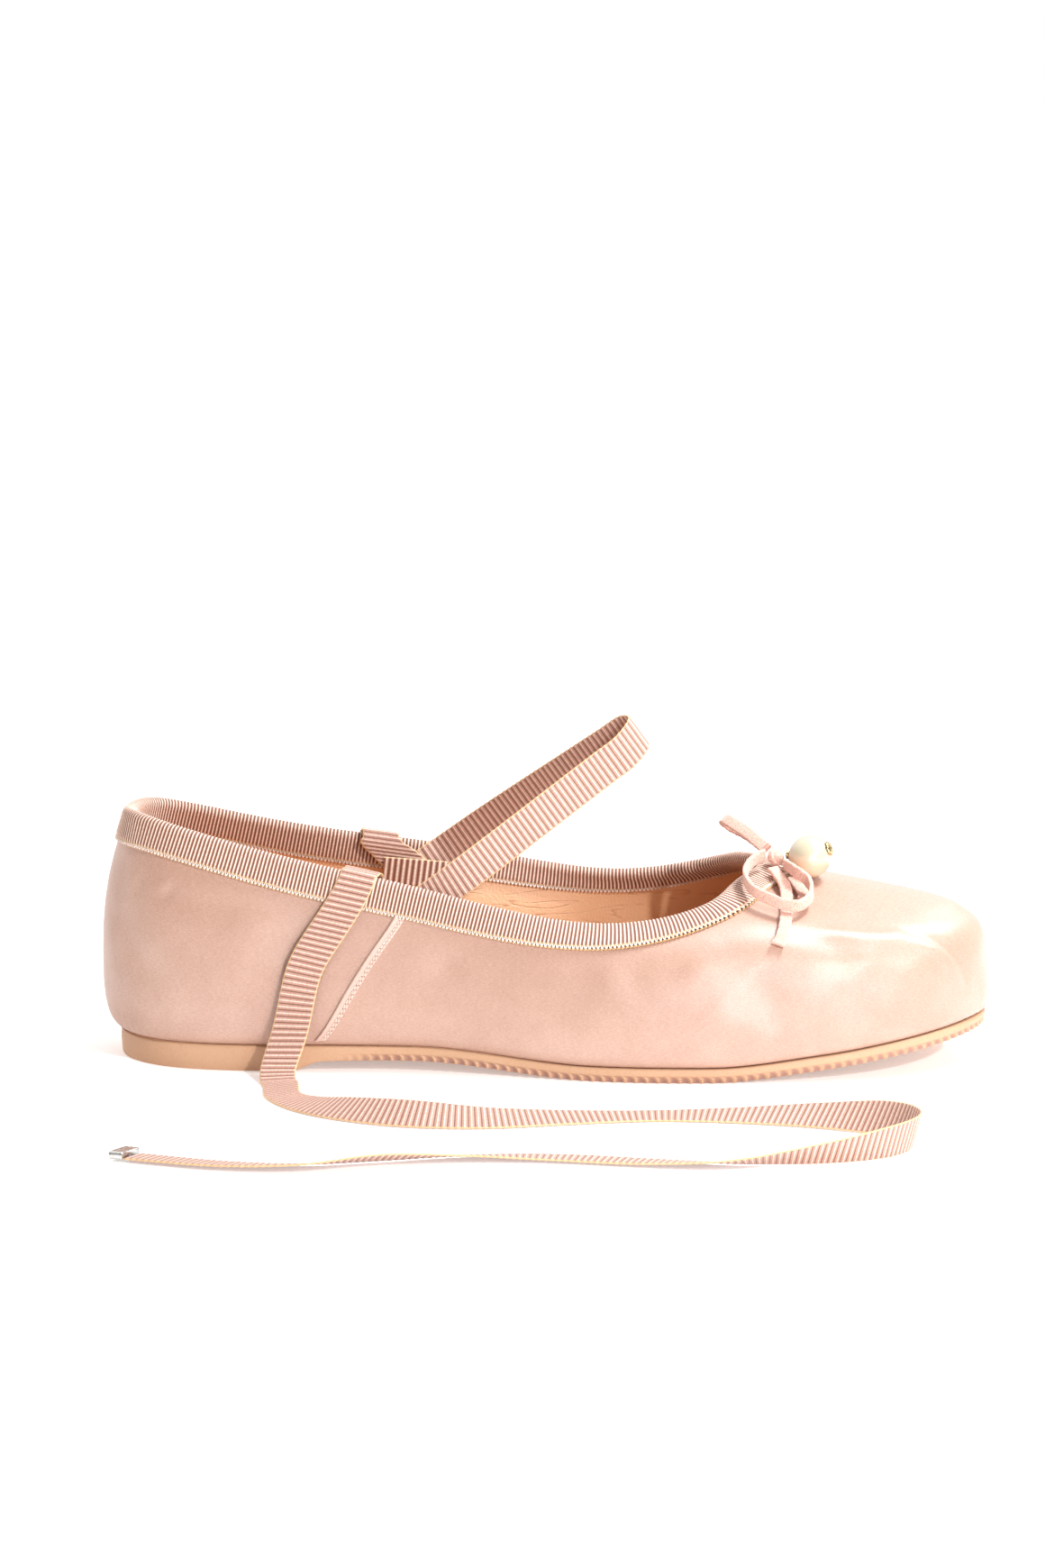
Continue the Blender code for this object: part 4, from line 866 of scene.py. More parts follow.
def make_binding(grosgrain):
    """The ribbed ribbon folded over the topline. Its ribs run across it."""
    drops = np.linspace(BINDING_DEPTH, 0.0, 9)
    points, normals, ups = across_collar(drops, RIB_SAMPLES)
    columns = points.shape[1]
    phase = np.arange(columns) % RIB_SAMPLES / RIB_SAMPLES
    rib = (0.5 - 0.5 * np.cos(2 * np.pi * phase))[:, None]
    near = BINDING_GAP
    low = BINDING_GAP + BINDING_THICKNESS - BINDING_RIB_DEPTH
    middle = points[-1] - normals[-1] * UPPER_WALL / 2
    rings, marks, edges = [], [], []

    def layer(place, away, base, over, edge):
        rings.append(place + away * (base + over * rib))
        marks.append(rib[:, 0] if over else rib[:, 0] * 0)
        edges.append(np.full(columns, edge))

    edge_way = -ups[0]
    rings.append(points[0] + normals[0] * (near + 0.05) + edge_way * 0.15)
    marks.append(rib[:, 0] * 0)
    edges.append(np.ones(columns))
    for k in range(len(drops)):
        share = 1.0 if k else 0.35
        layer(points[k], normals[k], low if k else low - 0.12, BINDING_RIB_DEPTH * share,
              np.clip(1 - k / 1.2, 0, 1))
    for angle in (22, 45, 68, 90, 112, 135, 158):
        turn = np.radians(angle)
        away = normals[-1] * np.cos(turn) + ups[-1] * np.sin(turn)
        layer(middle, away, UPPER_WALL / 2 + low, BINDING_RIB_DEPTH, 0.0)
    for k in reversed(range(len(drops))):
        share = 1.0 if k else 0.35
        layer(points[k] - normals[k] * UPPER_WALL, -normals[k], low if k else low - 0.12,
              BINDING_RIB_DEPTH * share, np.clip(1 - k / 1.2, 0, 1))
    for k in (0, len(drops) - 1):
        layer(points[k] - normals[k] * UPPER_WALL, -normals[k], near, 0.0, 0.0)
    layer(middle, ups[-1], UPPER_WALL / 2 + near, 0.0, 0.0)
    for k in (len(drops) - 1, 0):
        layer(points[k], normals[k], near, 0.0, 0.0)
    rings = np.stack(rings)
    girths = lengths(points[0])
    heights = lengths(np.vstack([rings[:, 0], rings[:1, 0]]))
    return ring_piece("grosgrain_binding", rings, girths, heights, [grosgrain],
                      marks={"rib": np.stack(marks), "edge": np.stack(edges)})


def thread_tree():
    """Geometry Nodes: on each point of a mesh a short arch of thread, its foot along the point's
    along direction and its top lifted towards the point's facing direction."""
    tree = bpy.data.node_groups.new("thread_arches", "GeometryNodeTree")
    face = tree.interface
    face.new_socket("Geometry", in_out="INPUT", socket_type="NodeSocketGeometry")
    for name in ("Arch Length", "Arch Reach", "Arch Lift", "Thread Diameter"):
        face.new_socket(name, in_out="INPUT", socket_type="NodeSocketFloat")
    face.new_socket("Finish", in_out="INPUT", socket_type="NodeSocketMaterial")
    face.new_socket("Geometry", in_out="OUTPUT", socket_type="NodeSocketGeometry")
    given = add(tree, "NodeGroupInput").outputs
    half = add(tree, "ShaderNodeMath", {0: given["Arch Length"], 1: 0.5}, operation="MULTIPLY")
    back = add(tree, "ShaderNodeMath", {0: half.outputs[0], 1: -1.0}, operation="MULTIPLY")
    twice = add(tree, "ShaderNodeMath", {0: given["Arch Lift"], 1: 2.0}, operation="MULTIPLY")
    start = add(tree, "ShaderNodeCombineXYZ", {"X": back.outputs[0]})
    middle = add(tree, "ShaderNodeCombineXYZ", {"Y": given["Arch Reach"], "Z": twice.outputs[0]})
    end = add(tree, "ShaderNodeCombineXYZ", {"X": half.outputs[0]})
    arch = add(tree, "GeometryNodeCurveQuadraticBezier",
               {"Resolution": 5, "Start": start.outputs[0], "Middle": middle.outputs[0],
                "End": end.outputs[0]})
    radius = add(tree, "ShaderNodeMath", {0: given["Thread Diameter"], 1: 0.5},
                 operation="MULTIPLY")
    round_line = add(tree, "GeometryNodeCurvePrimitiveCircle",
                     {"Resolution": 5, "Radius": radius.outputs[0]})
    thread = add(tree, "GeometryNodeCurveToMesh",
                 {"Curve": arch.outputs[0], "Profile Curve": round_line.outputs[0],
                  "Fill Caps": True})
    facing = add(tree, "GeometryNodeInputNamedAttribute", {"Name": "facing"},
                 data_type="FLOAT_VECTOR")
    along = add(tree, "GeometryNodeInputNamedAttribute", {"Name": "along"},
                data_type="FLOAT_VECTOR")
    turn = add(tree, "FunctionNodeAxesToRotation",
               {"Primary Axis": facing.outputs[0], "Secondary Axis": along.outputs[0]},
               primary_axis="Z", secondary_axis="X")
    laid = add(tree, "GeometryNodeInstanceOnPoints",
               {"Points": given["Geometry"], "Instance": thread.outputs[0],
                "Rotation": turn.outputs[0]})
    real = add(tree, "GeometryNodeRealizeInstances", {"Geometry": laid.outputs[0]})
    dressed = add(tree, "GeometryNodeSetMaterial",
                  {"Geometry": real.outputs[0], "Material": given["Finish"]})
    add(tree, "NodeGroupOutput", {"Geometry": dressed.outputs[0]})
    return tree


def sew(name, tree, points, along, facing, sizes, finish):
    """Arches of thread on points in millimetres, as a plain mesh. sizes are in millimetres."""
    mesh = bpy.data.meshes.new(name)
    mesh.from_pydata(((points - ORIGIN) * MM).tolist(), [], [])
    for mark, ways in (("along", along), ("facing", facing)):
        layer = mesh.attributes.new(mark, "FLOAT_VECTOR", "POINT")
        layer.data.foreach_set("vector", unit(ways).ravel())
    made = bpy.data.objects.new(name, mesh)
    bpy.context.scene.collection.objects.link(made)
    modifier = made.modifiers.new("thread", "NODES")
    modifier.node_group = tree
    for item in tree.interface.items_tree:
        if item.name in sizes:
            modifier[item.identifier] = sizes[item.name] * MM
        if item.name == "Finish":
            modifier[item.identifier] = finish
    graph = bpy.context.evaluated_depsgraph_get()
    result = bpy.data.meshes.new_from_object(made.evaluated_get(graph))
    made.modifiers.clear()
    made.data = result
    result.name = name
    if not result.materials:
        result.materials.append(finish)
    result.shade_smooth()
    return made


def sew_binding(tree, cotton, linen):
    """The picot loops at the binding's two edges, and the sewing thread that holds each down."""
    points, normals, ups = [rows[0] for rows in across_collar([BINDING_DEPTH, 0.0], 1)]
    made = []
    for side, over in (("outside", 0.0), ("lining", 1.0)):
        face = normals * (1 - 2 * over)
        skin = points - normals * UPPER_WALL * over
        runs = np.roll(skin, -1, axis=0) - np.roll(skin, 1, axis=0)
        picots = skin + face * (BINDING_GAP + PICOT_OUT) - ups * PICOT_DOWN
        made.append(sew(f"binding_picots_{side}", tree, picots, runs * (2 * over - 1), face,
                        PICOT_LOOP, cotton))
        lean = ups * SEWING_LEAN * np.linalg.norm(runs, axis=1)[:, None]
        made.append(sew(f"binding_sewing_{side}", tree,
                        skin + face * SEWING_OUT - ups * SEWING_DOWN,
                        runs * (1 - 2 * over) + lean, face, SEWING_LOOP, linen))
    return made


def linear(colour):
    """An sRGB hex colour as linear red, green, blue and alpha."""
    parts = [int(colour[k:k + 2], 16) / 255 for k in (1, 3, 5)]
    return (*[c / 12.92 if c <= 0.04045 else ((c + 0.055) / 1.055) ** 2.4 for c in parts], 1.0)


def add(tree, kind, inputs=None, **settings):
    """Adds a node to a tree, with its settings and with values or links for its inputs. A node
    given for an input is joined by its first output in use."""
    made = tree.nodes.new(kind)
    for name, value in settings.items():
        setattr(made, name, value)
    for name, value in (inputs or {}).items():
        if isinstance(name, int):
            socket = made.inputs[name]
        else:
            socket = next(s for s in made.inputs if s.enabled and s.name == name)
        if isinstance(value, bpy.types.Node):
            value = next(s for s in value.outputs if s.enabled)
        if isinstance(value, bpy.types.NodeSocket):
            tree.links.new(value, socket)
        else:
            socket.default_value = value
    return made


def new_finish(name):
    """An empty material and its tree."""
    made = bpy.data.materials.new(name)
    made.use_nodes = True
    made.node_tree.nodes.clear()
    return made, made.node_tree


COLOURS = {"data_type": "RGBA"}
SMOOTH = {"interpolation_type": "SMOOTHSTEP"}
SUM = {"operation": "MULTIPLY_ADD"}


def satin(name, folded=False):
    """Duchesse satin of fine filament yarn: long floats side by side give it a soft gleam along
    the weave, a slight grain and faint paler clouds. The floats are 0.12 mm across; they are
    drawn 0.3 mm across and the grain 0.42 mm, or they wouldn't show. Folded over at a seam it is
    a little paler, with needle holes where the thread goes in, darkened by painted shade."""
    made, tree = new_finish(name)
    place = add(tree, "ShaderNodeTexCoord").outputs["Object"]
    flat = add(tree, "ShaderNodeUVMap", uv_map="flat_mm")
    floats = add(tree, "ShaderNodeMapping", {"Vector": flat, "Scale": (1 / 1.2, 1 / 0.30, 1.0)})
    weave = add(tree, "ShaderNodeTexNoise",
                {"Vector": floats, "Scale": 1.0, "Detail": 2.0, "Roughness": 0.6})
    grain = add(tree, "ShaderNodeTexNoise", {"Vector": place, "Scale": 1 / (0.42 * MM),
                                             "Detail": 1.5})
    cloud = add(tree, "ShaderNodeTexNoise", {"Vector": place, "Scale": 1 / (11 * MM),
                                             "Detail": 3.0, "Roughness": 0.55})
    gleam = add(tree, "ShaderNodeMapRange", {"Value": weave, "From Min": 0.34, "From Max": 0.68},
                **SMOOTH)
    speck = add(tree, "ShaderNodeMapRange", {"Value": grain, "From Min": 0.34, "From Max": 0.66},
                **SMOOTH)
    soft = add(tree, "ShaderNodeMapRange", {"Value": cloud, "From Min": 0.32, "From Max": 0.68},
               **SMOOTH)
    pale = add(tree, "ShaderNodeMath", {0: gleam, 1: 0.40, 2: 0.0}, **SUM)
    pale = add(tree, "ShaderNodeMath", {0: speck, 1: 0.30, 2: pale}, **SUM)
    pale = add(tree, "ShaderNodeMath", {0: soft, 1: 0.20, 2: pale}, **SUM)
    tone = add(tree, "ShaderNodeMix",
               {"Factor": pale, "A": linear("#A87963"), "B": linear("#C19681")}, **COLOURS)
    if folded:
        hole = add(tree, "ShaderNodeAttribute", attribute_name="hole").outputs["Fac"]
        tone = add(tree, "ShaderNodeMix", {"Factor": 0.35, "A": tone, "B": linear("#E9C9BA")},
                   **COLOURS)
        # Painted shade darkens the needle holes.
        tone = add(tree, "ShaderNodeMix", {"Factor": hole, "A": tone, "B": linear("#7E4E40")},
                   **COLOURS)
    rough = add(tree, "ShaderNodeMapRange",
                {"Value": cloud, "From Min": 0.3, "From Max": 0.7, "To Min": 0.50,
                 "To Max": 0.40}, **SMOOTH)
    height = add(tree, "ShaderNodeMath", {0: weave, 1: 0.6, 2: 0.0}, **SUM)
    height = add(tree, "ShaderNodeMath", {0: grain, 1: 0.4, 2: height}, **SUM)
    raised = add(tree, "ShaderNodeBump", {"Height": height, "Distance": 0.08 * MM})
    ways = add(tree, "ShaderNodeTangent", direction_type="UV_MAP", uv_map="flat_mm")
    shader = add(tree, "ShaderNodeBsdfPrincipled", {
        "Base Color": tone, "Roughness": rough, "Normal": raised, "Tangent": ways,
        "Specular IOR Level": 1.0, "IOR": 1.58, "Anisotropic": 0.45, "Sheen Weight": 0.30,
        "Sheen Roughness": 0.35, "Sheen Tint": linear("#FFEFEA")})
    add(tree, "ShaderNodeOutputMaterial", {"Surface": shader})
    return made


def leather(name, light, deep, wrinkle):
    """Glazed sheepskin, dyed through: fine pebbled grain and thin wrinkles lengthways, darkened in
    the folds by painted shade, with a low polish from the finishing."""
    made, tree = new_finish(name)
    place = add(tree, "ShaderNodeTexCoord").outputs["Object"]
    long = add(tree, "ShaderNodeMapping",
               {"Vector": place, "Scale": (1 / (24 * MM), 1 / (13 * MM), 1 / (3.6 * MM))})
    folds = add(tree, "ShaderNodeTexNoise",
                {"Vector": long, "Scale": 1.0, "Detail": 2.0, "Roughness": 0.45,
                 "Distortion": 0.3})
    pores = add(tree, "ShaderNodeTexVoronoi", {"Vector": place, "Scale": 1 / (0.8 * MM)})
    cloud = add(tree, "ShaderNodeTexNoise", {"Vector": place, "Scale": 1 / (13 * MM),
                                             "Detail": 3.0})
    patch = add(tree, "ShaderNodeTexNoise", {"Vector": place, "Scale": 1 / (7 * MM)})
    steep = add(tree, "ShaderNodeMath", {0: folds, 1: 7.0}, operation="MULTIPLY")
    swing = add(tree, "ShaderNodeMath", {0: steep, 1: 1.0}, operation="PINGPONG")
    there = add(tree, "ShaderNodeMapRange",
                {"Value": patch, "From Min": 0.36, "From Max": 0.60, "To Max": wrinkle},
                **SMOOTH)
    line = add(tree, "ShaderNodeMapRange", {"Value": swing, "From Min": 0.24, "From Max": 0.0},
               **SMOOTH)
    wrinkle_line_and_shade = add(tree, "ShaderNodeMath", {0: line, 1: there}, operation="MULTIPLY")
    tone = add(tree, "ShaderNodeMix", {"Factor": cloud, "A": linear(light), "B": linear(deep)},
               **COLOURS)
    # Painted shade: the wrinkles' lines are darkened towards a deeper tan.
    tone_with_painted_wrinkle_shade = add(tree, "ShaderNodeMix", {"Factor": wrinkle_line_and_shade, "A": tone, "B": linear("#B57C50")},
               **COLOURS)
    height = add(tree, "ShaderNodeMath", {0: pores, 1: 0.2, 2: 0.0}, **SUM)
    height = add(tree, "ShaderNodeMath", {0: wrinkle_line_and_shade, 1: -0.8, 2: height}, **SUM)
    raised = add(tree, "ShaderNodeBump", {"Height": height, "Distance": 0.35 * MM})
    shader = add(tree, "ShaderNodeBsdfPrincipled", {
        "Base Color": tone_with_painted_wrinkle_shade, "Normal": raised, "Roughness": 0.46, "Specular IOR Level": 0.42,
        "Coat Weight": 0.06, "Coat Roughness": 0.35})
    add(tree, "ShaderNodeOutputMaterial", {"Surface": shader})
    return made


def rubber(name, treaded=False):
    """Crepe-coloured moulded rubber: matt and even, darker and mauve down in the notches and in a
    line under the smooth band, both painted shade, with a faint moulding speckle."""
    made, tree = new_finish(name)
    place = add(tree, "ShaderNodeTexCoord").outputs["Object"]
    speckle = add(tree, "ShaderNodeTexNoise", {"Vector": place, "Scale": 1 / (0.7 * MM),
                                               "Detail": 2.0})
    cloud = add(tree, "ShaderNodeTexNoise", {"Vector": place, "Scale": 1 / (18 * MM),
                                             "Detail": 2.0})
    dust = add(tree, "ShaderNodeMapRange",
               {"Value": speckle, "From Min": 0.4, "From Max": 0.8, "To Max": 0.25}, **SMOOTH)
    tone = add(tree, "ShaderNodeMix",
               {"Factor": cloud, "A": linear("#CA9E7D"), "B": linear("#BF9171")}, **COLOURS)
    tone = add(tree, "ShaderNodeMix", {"Factor": dust, "A": tone, "B": linear("#B07C5A")},
               **COLOURS)
    if treaded:
        ribs = add(tree, "ShaderNodeMapping",
                   {"Vector": place, "Scale": (1 / (RIB_PITCH * MM), 0.0, 0.0)})
        waves = add(tree, "ShaderNodeTexWave", {"Vector": ribs, "Scale": 0.3183},
                    bands_direction="X").outputs["Fac"]
        high = add(tree, "ShaderNodeMapRange", {"Value": waves, "From Min": 0.2,
                                                "From Max": 0.7}, **SMOOTH)
        # Painted shade darkens the troughs between the tread's ribs.
        tone = add(tree, "ShaderNodeMix", {"Factor": high, "A": linear("#A9775A"), "B": tone},
                   **COLOURS)
        height = add(tree, "ShaderNodeMath", {0: speckle, 1: 0.1, 2: high}, **SUM)
        raised = add(tree, "ShaderNodeBump", {"Height": height, "Distance": 0.5 * MM})
    else:
        # The groove mark is painted shade: darker and mauve in the notches and under the smooth
        # band.
        groove = add(tree, "ShaderNodeAttribute", attribute_name="groove").outputs["Fac"]
        deep = add(tree, "ShaderNodeMapRange",
                   {"Value": groove, "From Min": 0.15, "From Max": 0.95, "To Max": 0.8},
                   **SMOOTH)
        tone = add(tree, "ShaderNodeMix", {"Factor": deep, "A": tone, "B": linear("#94665C")},
                   **COLOURS)
        raised = add(tree, "ShaderNodeBump", {"Height": speckle, "Distance": 0.05 * MM})
    shader = add(tree, "ShaderNodeBsdfPrincipled", {
        "Base Color": tone, "Normal": raised, "Roughness": 0.56, "Specular IOR Level": 0.38})
    add(tree, "ShaderNodeOutputMaterial", {"Surface": shader})
    return made


def grosgrain(name, colours, cord, crest, warp):
    """Rayon grosgrain: heavy weft cords under close warp threads, dull and darkened by painted
    shade in the grooves and between the warp threads, with a dry gleam and a painted highlight on
    the cords' crests, and looped edges of straw thread. colours are the groove's painted shade, the
    cord's, its crest's painted highlight and the edge's; cord and crest say how high on a rib each
    begins. The warp is 0.2 mm apart, drawn wider."""
    made, tree = new_finish(name)
    groove, body, ridge, edge = [linear(colour) for colour in colours]
    place = add(tree, "ShaderNodeTexCoord").outputs["Object"]
    flat = add(tree, "ShaderNodeUVMap", uv_map="flat_mm")
    rib = add(tree, "ShaderNodeAttribute", attribute_name="rib").outputs["Fac"]
    rim = add(tree, "ShaderNodeAttribute", attribute_name="edge").outputs["Fac"]
    threads = add(tree, "ShaderNodeMapping", {"Vector": flat, "Scale": (1 / 1.6, 1 / warp, 1.0)})
    warps = add(tree, "ShaderNodeTexNoise", {"Vector": threads, "Scale": 1.0, "Detail": 2.0})
    fuzz = add(tree, "ShaderNodeTexNoise", {"Vector": place, "Scale": 1 / (0.4 * MM),
                                            "Detail": 2.0})
    cord_over_groove_shade = add(tree, "ShaderNodeMapRange", {"Value": rib, "From Min": cord[0],
                                               "From Max": cord[1]}, **SMOOTH)
    crest_highlight = add(tree, "ShaderNodeMapRange", {"Value": rib, "From Min": crest[0],
                                                "From Max": crest[1]}, **SMOOTH)
    between = add(tree, "ShaderNodeMapRange",
                  {"Value": warps, "From Min": 0.35, "From Max": 0.7, "To Max": 0.25}, **SMOOTH)
    # By the rib's height: the groove colour is painted shade and the crest colour a painted
    # highlight.
    tone = add(tree, "ShaderNodeMix", {"Factor": cord_over_groove_shade, "A": groove, "B": body}, **COLOURS)
    tone = add(tree, "ShaderNodeMix", {"Factor": crest_highlight, "A": tone, "B": ridge}, **COLOURS)
    # Painted shade between the warp threads, in the groove's colour.
    tone = add(tree, "ShaderNodeMix", {"Factor": between, "A": tone, "B": groove}, **COLOURS)
    ragged = add(tree, "ShaderNodeMath", {0: fuzz, 1: 0.5, 2: rim}, **SUM)
    on_edge = add(tree, "ShaderNodeMapRange", {"Value": ragged, "From Min": 0.75,
                                               "From Max": 1.25}, **SMOOTH)
    tone = add(tree, "ShaderNodeMix", {"Factor": on_edge, "A": tone, "B": edge}, **COLOURS)
    height = add(tree, "ShaderNodeMath", {0: warps, 1: 0.7, 2: 0.0}, **SUM)
    height = add(tree, "ShaderNodeMath", {0: fuzz, 1: 0.4, 2: height}, **SUM)
    raised = add(tree, "ShaderNodeBump", {"Height": height, "Distance": 0.10 * MM})
    shader = add(tree, "ShaderNodeBsdfPrincipled", {
        "Base Color": tone, "Normal": raised, "Roughness": 0.62, "Specular IOR Level": 0.4,
        "Sheen Weight": 0.25, "Sheen Roughness": 0.4, "Sheen Tint": linear("#FFE9DE")})
    add(tree, "ShaderNodeOutputMaterial", {"Surface": shader})
    return made


def thread(name, light, deep, roughness):
    """Spun sewing thread: matt, with the twist and stray fibre as a fine mottle."""
    made, tree = new_finish(name)
    place = add(tree, "ShaderNodeTexCoord").outputs["Object"]
    twist = add(tree, "ShaderNodeTexNoise", {"Vector": place, "Scale": 1 / (0.35 * MM),
                                             "Detail": 2.0, "Roughness": 0.7})
    lit = add(tree, "ShaderNodeMapRange", {"Value": twist, "From Min": 0.35, "From Max": 0.65},
              **SMOOTH)
    tone = add(tree, "ShaderNodeMix", {"Factor": lit, "A": linear(deep), "B": linear(light)},
               **COLOURS)
    raised = add(tree, "ShaderNodeBump", {"Height": twist, "Distance": 0.08 * MM})
    shader = add(tree, "ShaderNodeBsdfPrincipled", {
        "Base Color": tone, "Normal": raised, "Roughness": roughness,
        "Specular IOR Level": 0.35, "Sheen Weight": 0.2, "Sheen Roughness": 0.5})
    add(tree, "ShaderNodeOutputMaterial", {"Surface": shader})
    return made


def lace_nap():
    """Brushed cotton lace: matt, with a short nap that goes pale where the light grazes it. Its
    tufts are drawn 0.45 mm across, coarser than they are, so that they show."""
    made, tree = new_finish("brushed_lace")
    place = add(tree, "ShaderNodeTexCoord").outputs["Object"]
    flat = add(tree, "ShaderNodeUVMap", uv_map="flat_mm")
    run = add(tree, "ShaderNodeMapping", {"Vector": flat, "Scale": (1 / 0.6, 1 / 0.35, 1.0)})
    knit = add(tree, "ShaderNodeTexNoise", {"Vector": run, "Scale": 1.0, "Detail": 2.0})
    nap = add(tree, "ShaderNodeTexNoise", {"Vector": place, "Scale": 1 / (0.45 * MM),
                                           "Detail": 3.0, "Roughness": 0.65})
    both = add(tree, "ShaderNodeMath", {0: knit, 1: 0.45, 2: 0.0}, **SUM)
    both = add(tree, "ShaderNodeMath", {0: nap, 1: 0.55, 2: both}, **SUM)
    lit = add(tree, "ShaderNodeMapRange", {"Value": both, "From Min": 0.36, "From Max": 0.64},
              **SMOOTH)
    tone = add(tree, "ShaderNodeMix",
               {"Factor": lit, "A": linear("#C99380"), "B": linear("#E9BBAA")}, **COLOURS)
    raised = add(tree, "ShaderNodeBump", {"Height": nap, "Distance": 0.14 * MM})
    shader = add(tree, "ShaderNodeBsdfPrincipled", {
        "Base Color": tone, "Normal": raised, "Roughness": 0.85, "Specular IOR Level": 0.25,
        "Sheen Weight": 0.5, "Sheen Roughness": 0.45, "Sheen Tint": linear("#FFE6DA")})
    add(tree, "ShaderNodeOutputMaterial", {"Surface": shader})
    return made


def nacre():
    """Cultured pearl: thin layers of nacre over a bead, cream with a green-gold bloom above,
    painted peach below as a reflection of the satin, a rim darkened by painted shade, and a broad
    soft gleam under a clear skin."""
    made, tree = new_finish("cream_nacre")
    place = add(tree, "ShaderNodeTexCoord").outputs["Object"]
    centre, radius = (pearl_centre() - ORIGIN) * MM, PEARL_DIAMETER / 2 * MM
    local = add(tree, "ShaderNodeMapping", {"Vector": place, "Location": -centre / radius,
                                            "Scale": (1 / radius,) * 3})
    parts = add(tree, "ShaderNodeSeparateXYZ", {"Vector": local}).outputs
    cloud = add(tree, "ShaderNodeTexNoise", {"Vector": place, "Scale": 1 / (3.0 * MM),
                                             "Detail": 3.0})
    facing = add(tree, "ShaderNodeLayerWeight", {"Blend": 0.35}).outputs["Facing"]
    level = add(tree, "ShaderNodeMath", {0: parts["X"], 1: -0.20, 2: 0.0}, **SUM)
    level = add(tree, "ShaderNodeMath", {0: parts["Z"], 1: 0.5, 2: level}, **SUM)
    level = add(tree, "ShaderNodeMath", {0: cloud, 1: 0.45, 2: level}, **SUM)
    # Green-gold bloom above; the peach below is a painted reflection of the satin.
    bloom_and_reflection = add(tree, "ShaderNodeMapRange", {"Value": level, "From Min": 0.10,
                                             "From Max": 0.55}, **SMOOTH)
    # Painted shade darkens the rim where the pearl turns away.
    rim = add(tree, "ShaderNodeMapRange",
              {"Value": facing, "From Min": 0.30, "From Max": 1.0, "To Max": 0.7}, **SMOOTH)
    tone = add(tree, "ShaderNodeMix",
               {"Factor": bloom_and_reflection, "A": linear("#DCB99A"), "B": linear("#BDAD91")}, **COLOURS)
    tone = add(tree, "ShaderNodeMix", {"Factor": rim, "A": tone, "B": linear("#957C58")},
               **COLOURS)
    ripple = add(tree, "ShaderNodeTexNoise", {"Vector": place, "Scale": 1 / (0.9 * MM)})
    raised = add(tree, "ShaderNodeBump", {"Height": ripple, "Distance": 0.01 * MM})
    shader = add(tree, "ShaderNodeBsdfPrincipled", {
        "Base Color": tone, "Normal": raised, "Roughness": 0.34, "Specular IOR Level": 0.8,
        "Coat Weight": 0.8, "Coat Roughness": 0.10, "Sheen Weight": 0.15,
        "Sheen Roughness": 0.3, "Sheen Tint": linear("#FFE3D2")})
    add(tree, "ShaderNodeOutputMaterial", {"Surface": shader})
    return made


def plated(name, tone, dull, roughness):
    """Plated brass: bright metal with fine rubbing marks and a slightly dulled patch here and
    there."""
    made, tree = new_finish(name)
    place = add(tree, "ShaderNodeTexCoord").outputs["Object"]
    rub = add(tree, "ShaderNodeTexNoise", {"Vector": place, "Scale": 1 / (0.5 * MM),
                                           "Detail": 3.0})
    cloud = add(tree, "ShaderNodeTexNoise", {"Vector": place, "Scale": 1 / (2.5 * MM)})
    dulled = add(tree, "ShaderNodeMapRange", {"Value": cloud, "From Min": 0.4,
                                              "From Max": 0.8}, **SMOOTH)
    rubbed = add(tree, "ShaderNodeMapRange",
                 {"Value": rub, "From Min": 0.3, "From Max": 0.7, "To Min": roughness * 0.8,
                  "To Max": roughness * 1.5}, **SMOOTH)
    colour = add(tree, "ShaderNodeMix",
                 {"Factor": dulled, "A": linear(tone), "B": linear(dull)}, **COLOURS)
    raised = add(tree, "ShaderNodeBump", {"Height": rub, "Distance": 0.01 * MM})
    shader = add(tree, "ShaderNodeBsdfPrincipled", {
        "Base Color": colour, "Roughness": rubbed, "Normal": raised, "Metallic": 1.0})
    add(tree, "ShaderNodeOutputMaterial", {"Surface": shader})
    return made


def studio_white():
    """The seamless white sweep the shoe stands on, lifted to pure white as in the photograph,
    with only a faint mottle."""
    made, tree = new_finish("white_sweep")
    place = add(tree, "ShaderNodeTexCoord").outputs["Object"]
    mottle = add(tree, "ShaderNodeTexNoise", {"Vector": place, "Scale": 6.0})
    tone = add(tree, "ShaderNodeMix",
               {"Factor": mottle, "A": linear("#FAF7F5"), "B": linear("#F8F5F3")}, **COLOURS)
    shader = add(tree, "ShaderNodeBsdfPrincipled", {
        "Base Color": tone, "Roughness": 0.9, "Specular IOR Level": 0.1,
        "Emission Color": linear("#FFFFFF"), "Emission Strength": SWEEP_GLOW})
    add(tree, "ShaderNodeOutputMaterial", {"Surface": shader})
    return made


# Light and camera. Ways and places are in the row frame; CAMERA_AIM is in millimetres.
SWEEP_GLOW = 0.32
ROUND_LIGHT = [
    # which way, from where to where on that axis it grows, how strong
    ("Y", -0.2, 0.5, 1.02), ("Z", 0.3, 1.0, 0.50), ("X", 0.0, -1.0, 0.55),
]
KEY_STRENGTH = 1.8
KEY_ANGLE_DEG = 2.0
KEY_WAY = (0.545, -0.669, 0.505)
SOFTBOXES = [
    # name, place and size in millimetres, watts
    ("overhead_softbox", (280.0, 5.0, 505.0), 120.0, 4.65),
    ("toe_softbox", (205.0, -400.0, 60.0), 250.0, 1.50),
]
SOFTBOX_AIM = (85.0, -20.0, 30.0)
SOFTBOX_COLOUR = (0.78, 0.92, 1.0)
CAMERA_AIM = (-6.6, 0.0, 30.0)
CAMERA_TURN_DEG = 4.10
CAMERA_RISE_DEG = 9.32
CAMERA_ROLL_DEG = -0.32
CAMERA_FAR = 1600.0
CAMERA_SHIFT = (0.38, 45.96)
CAMERA_LENS = 130.6


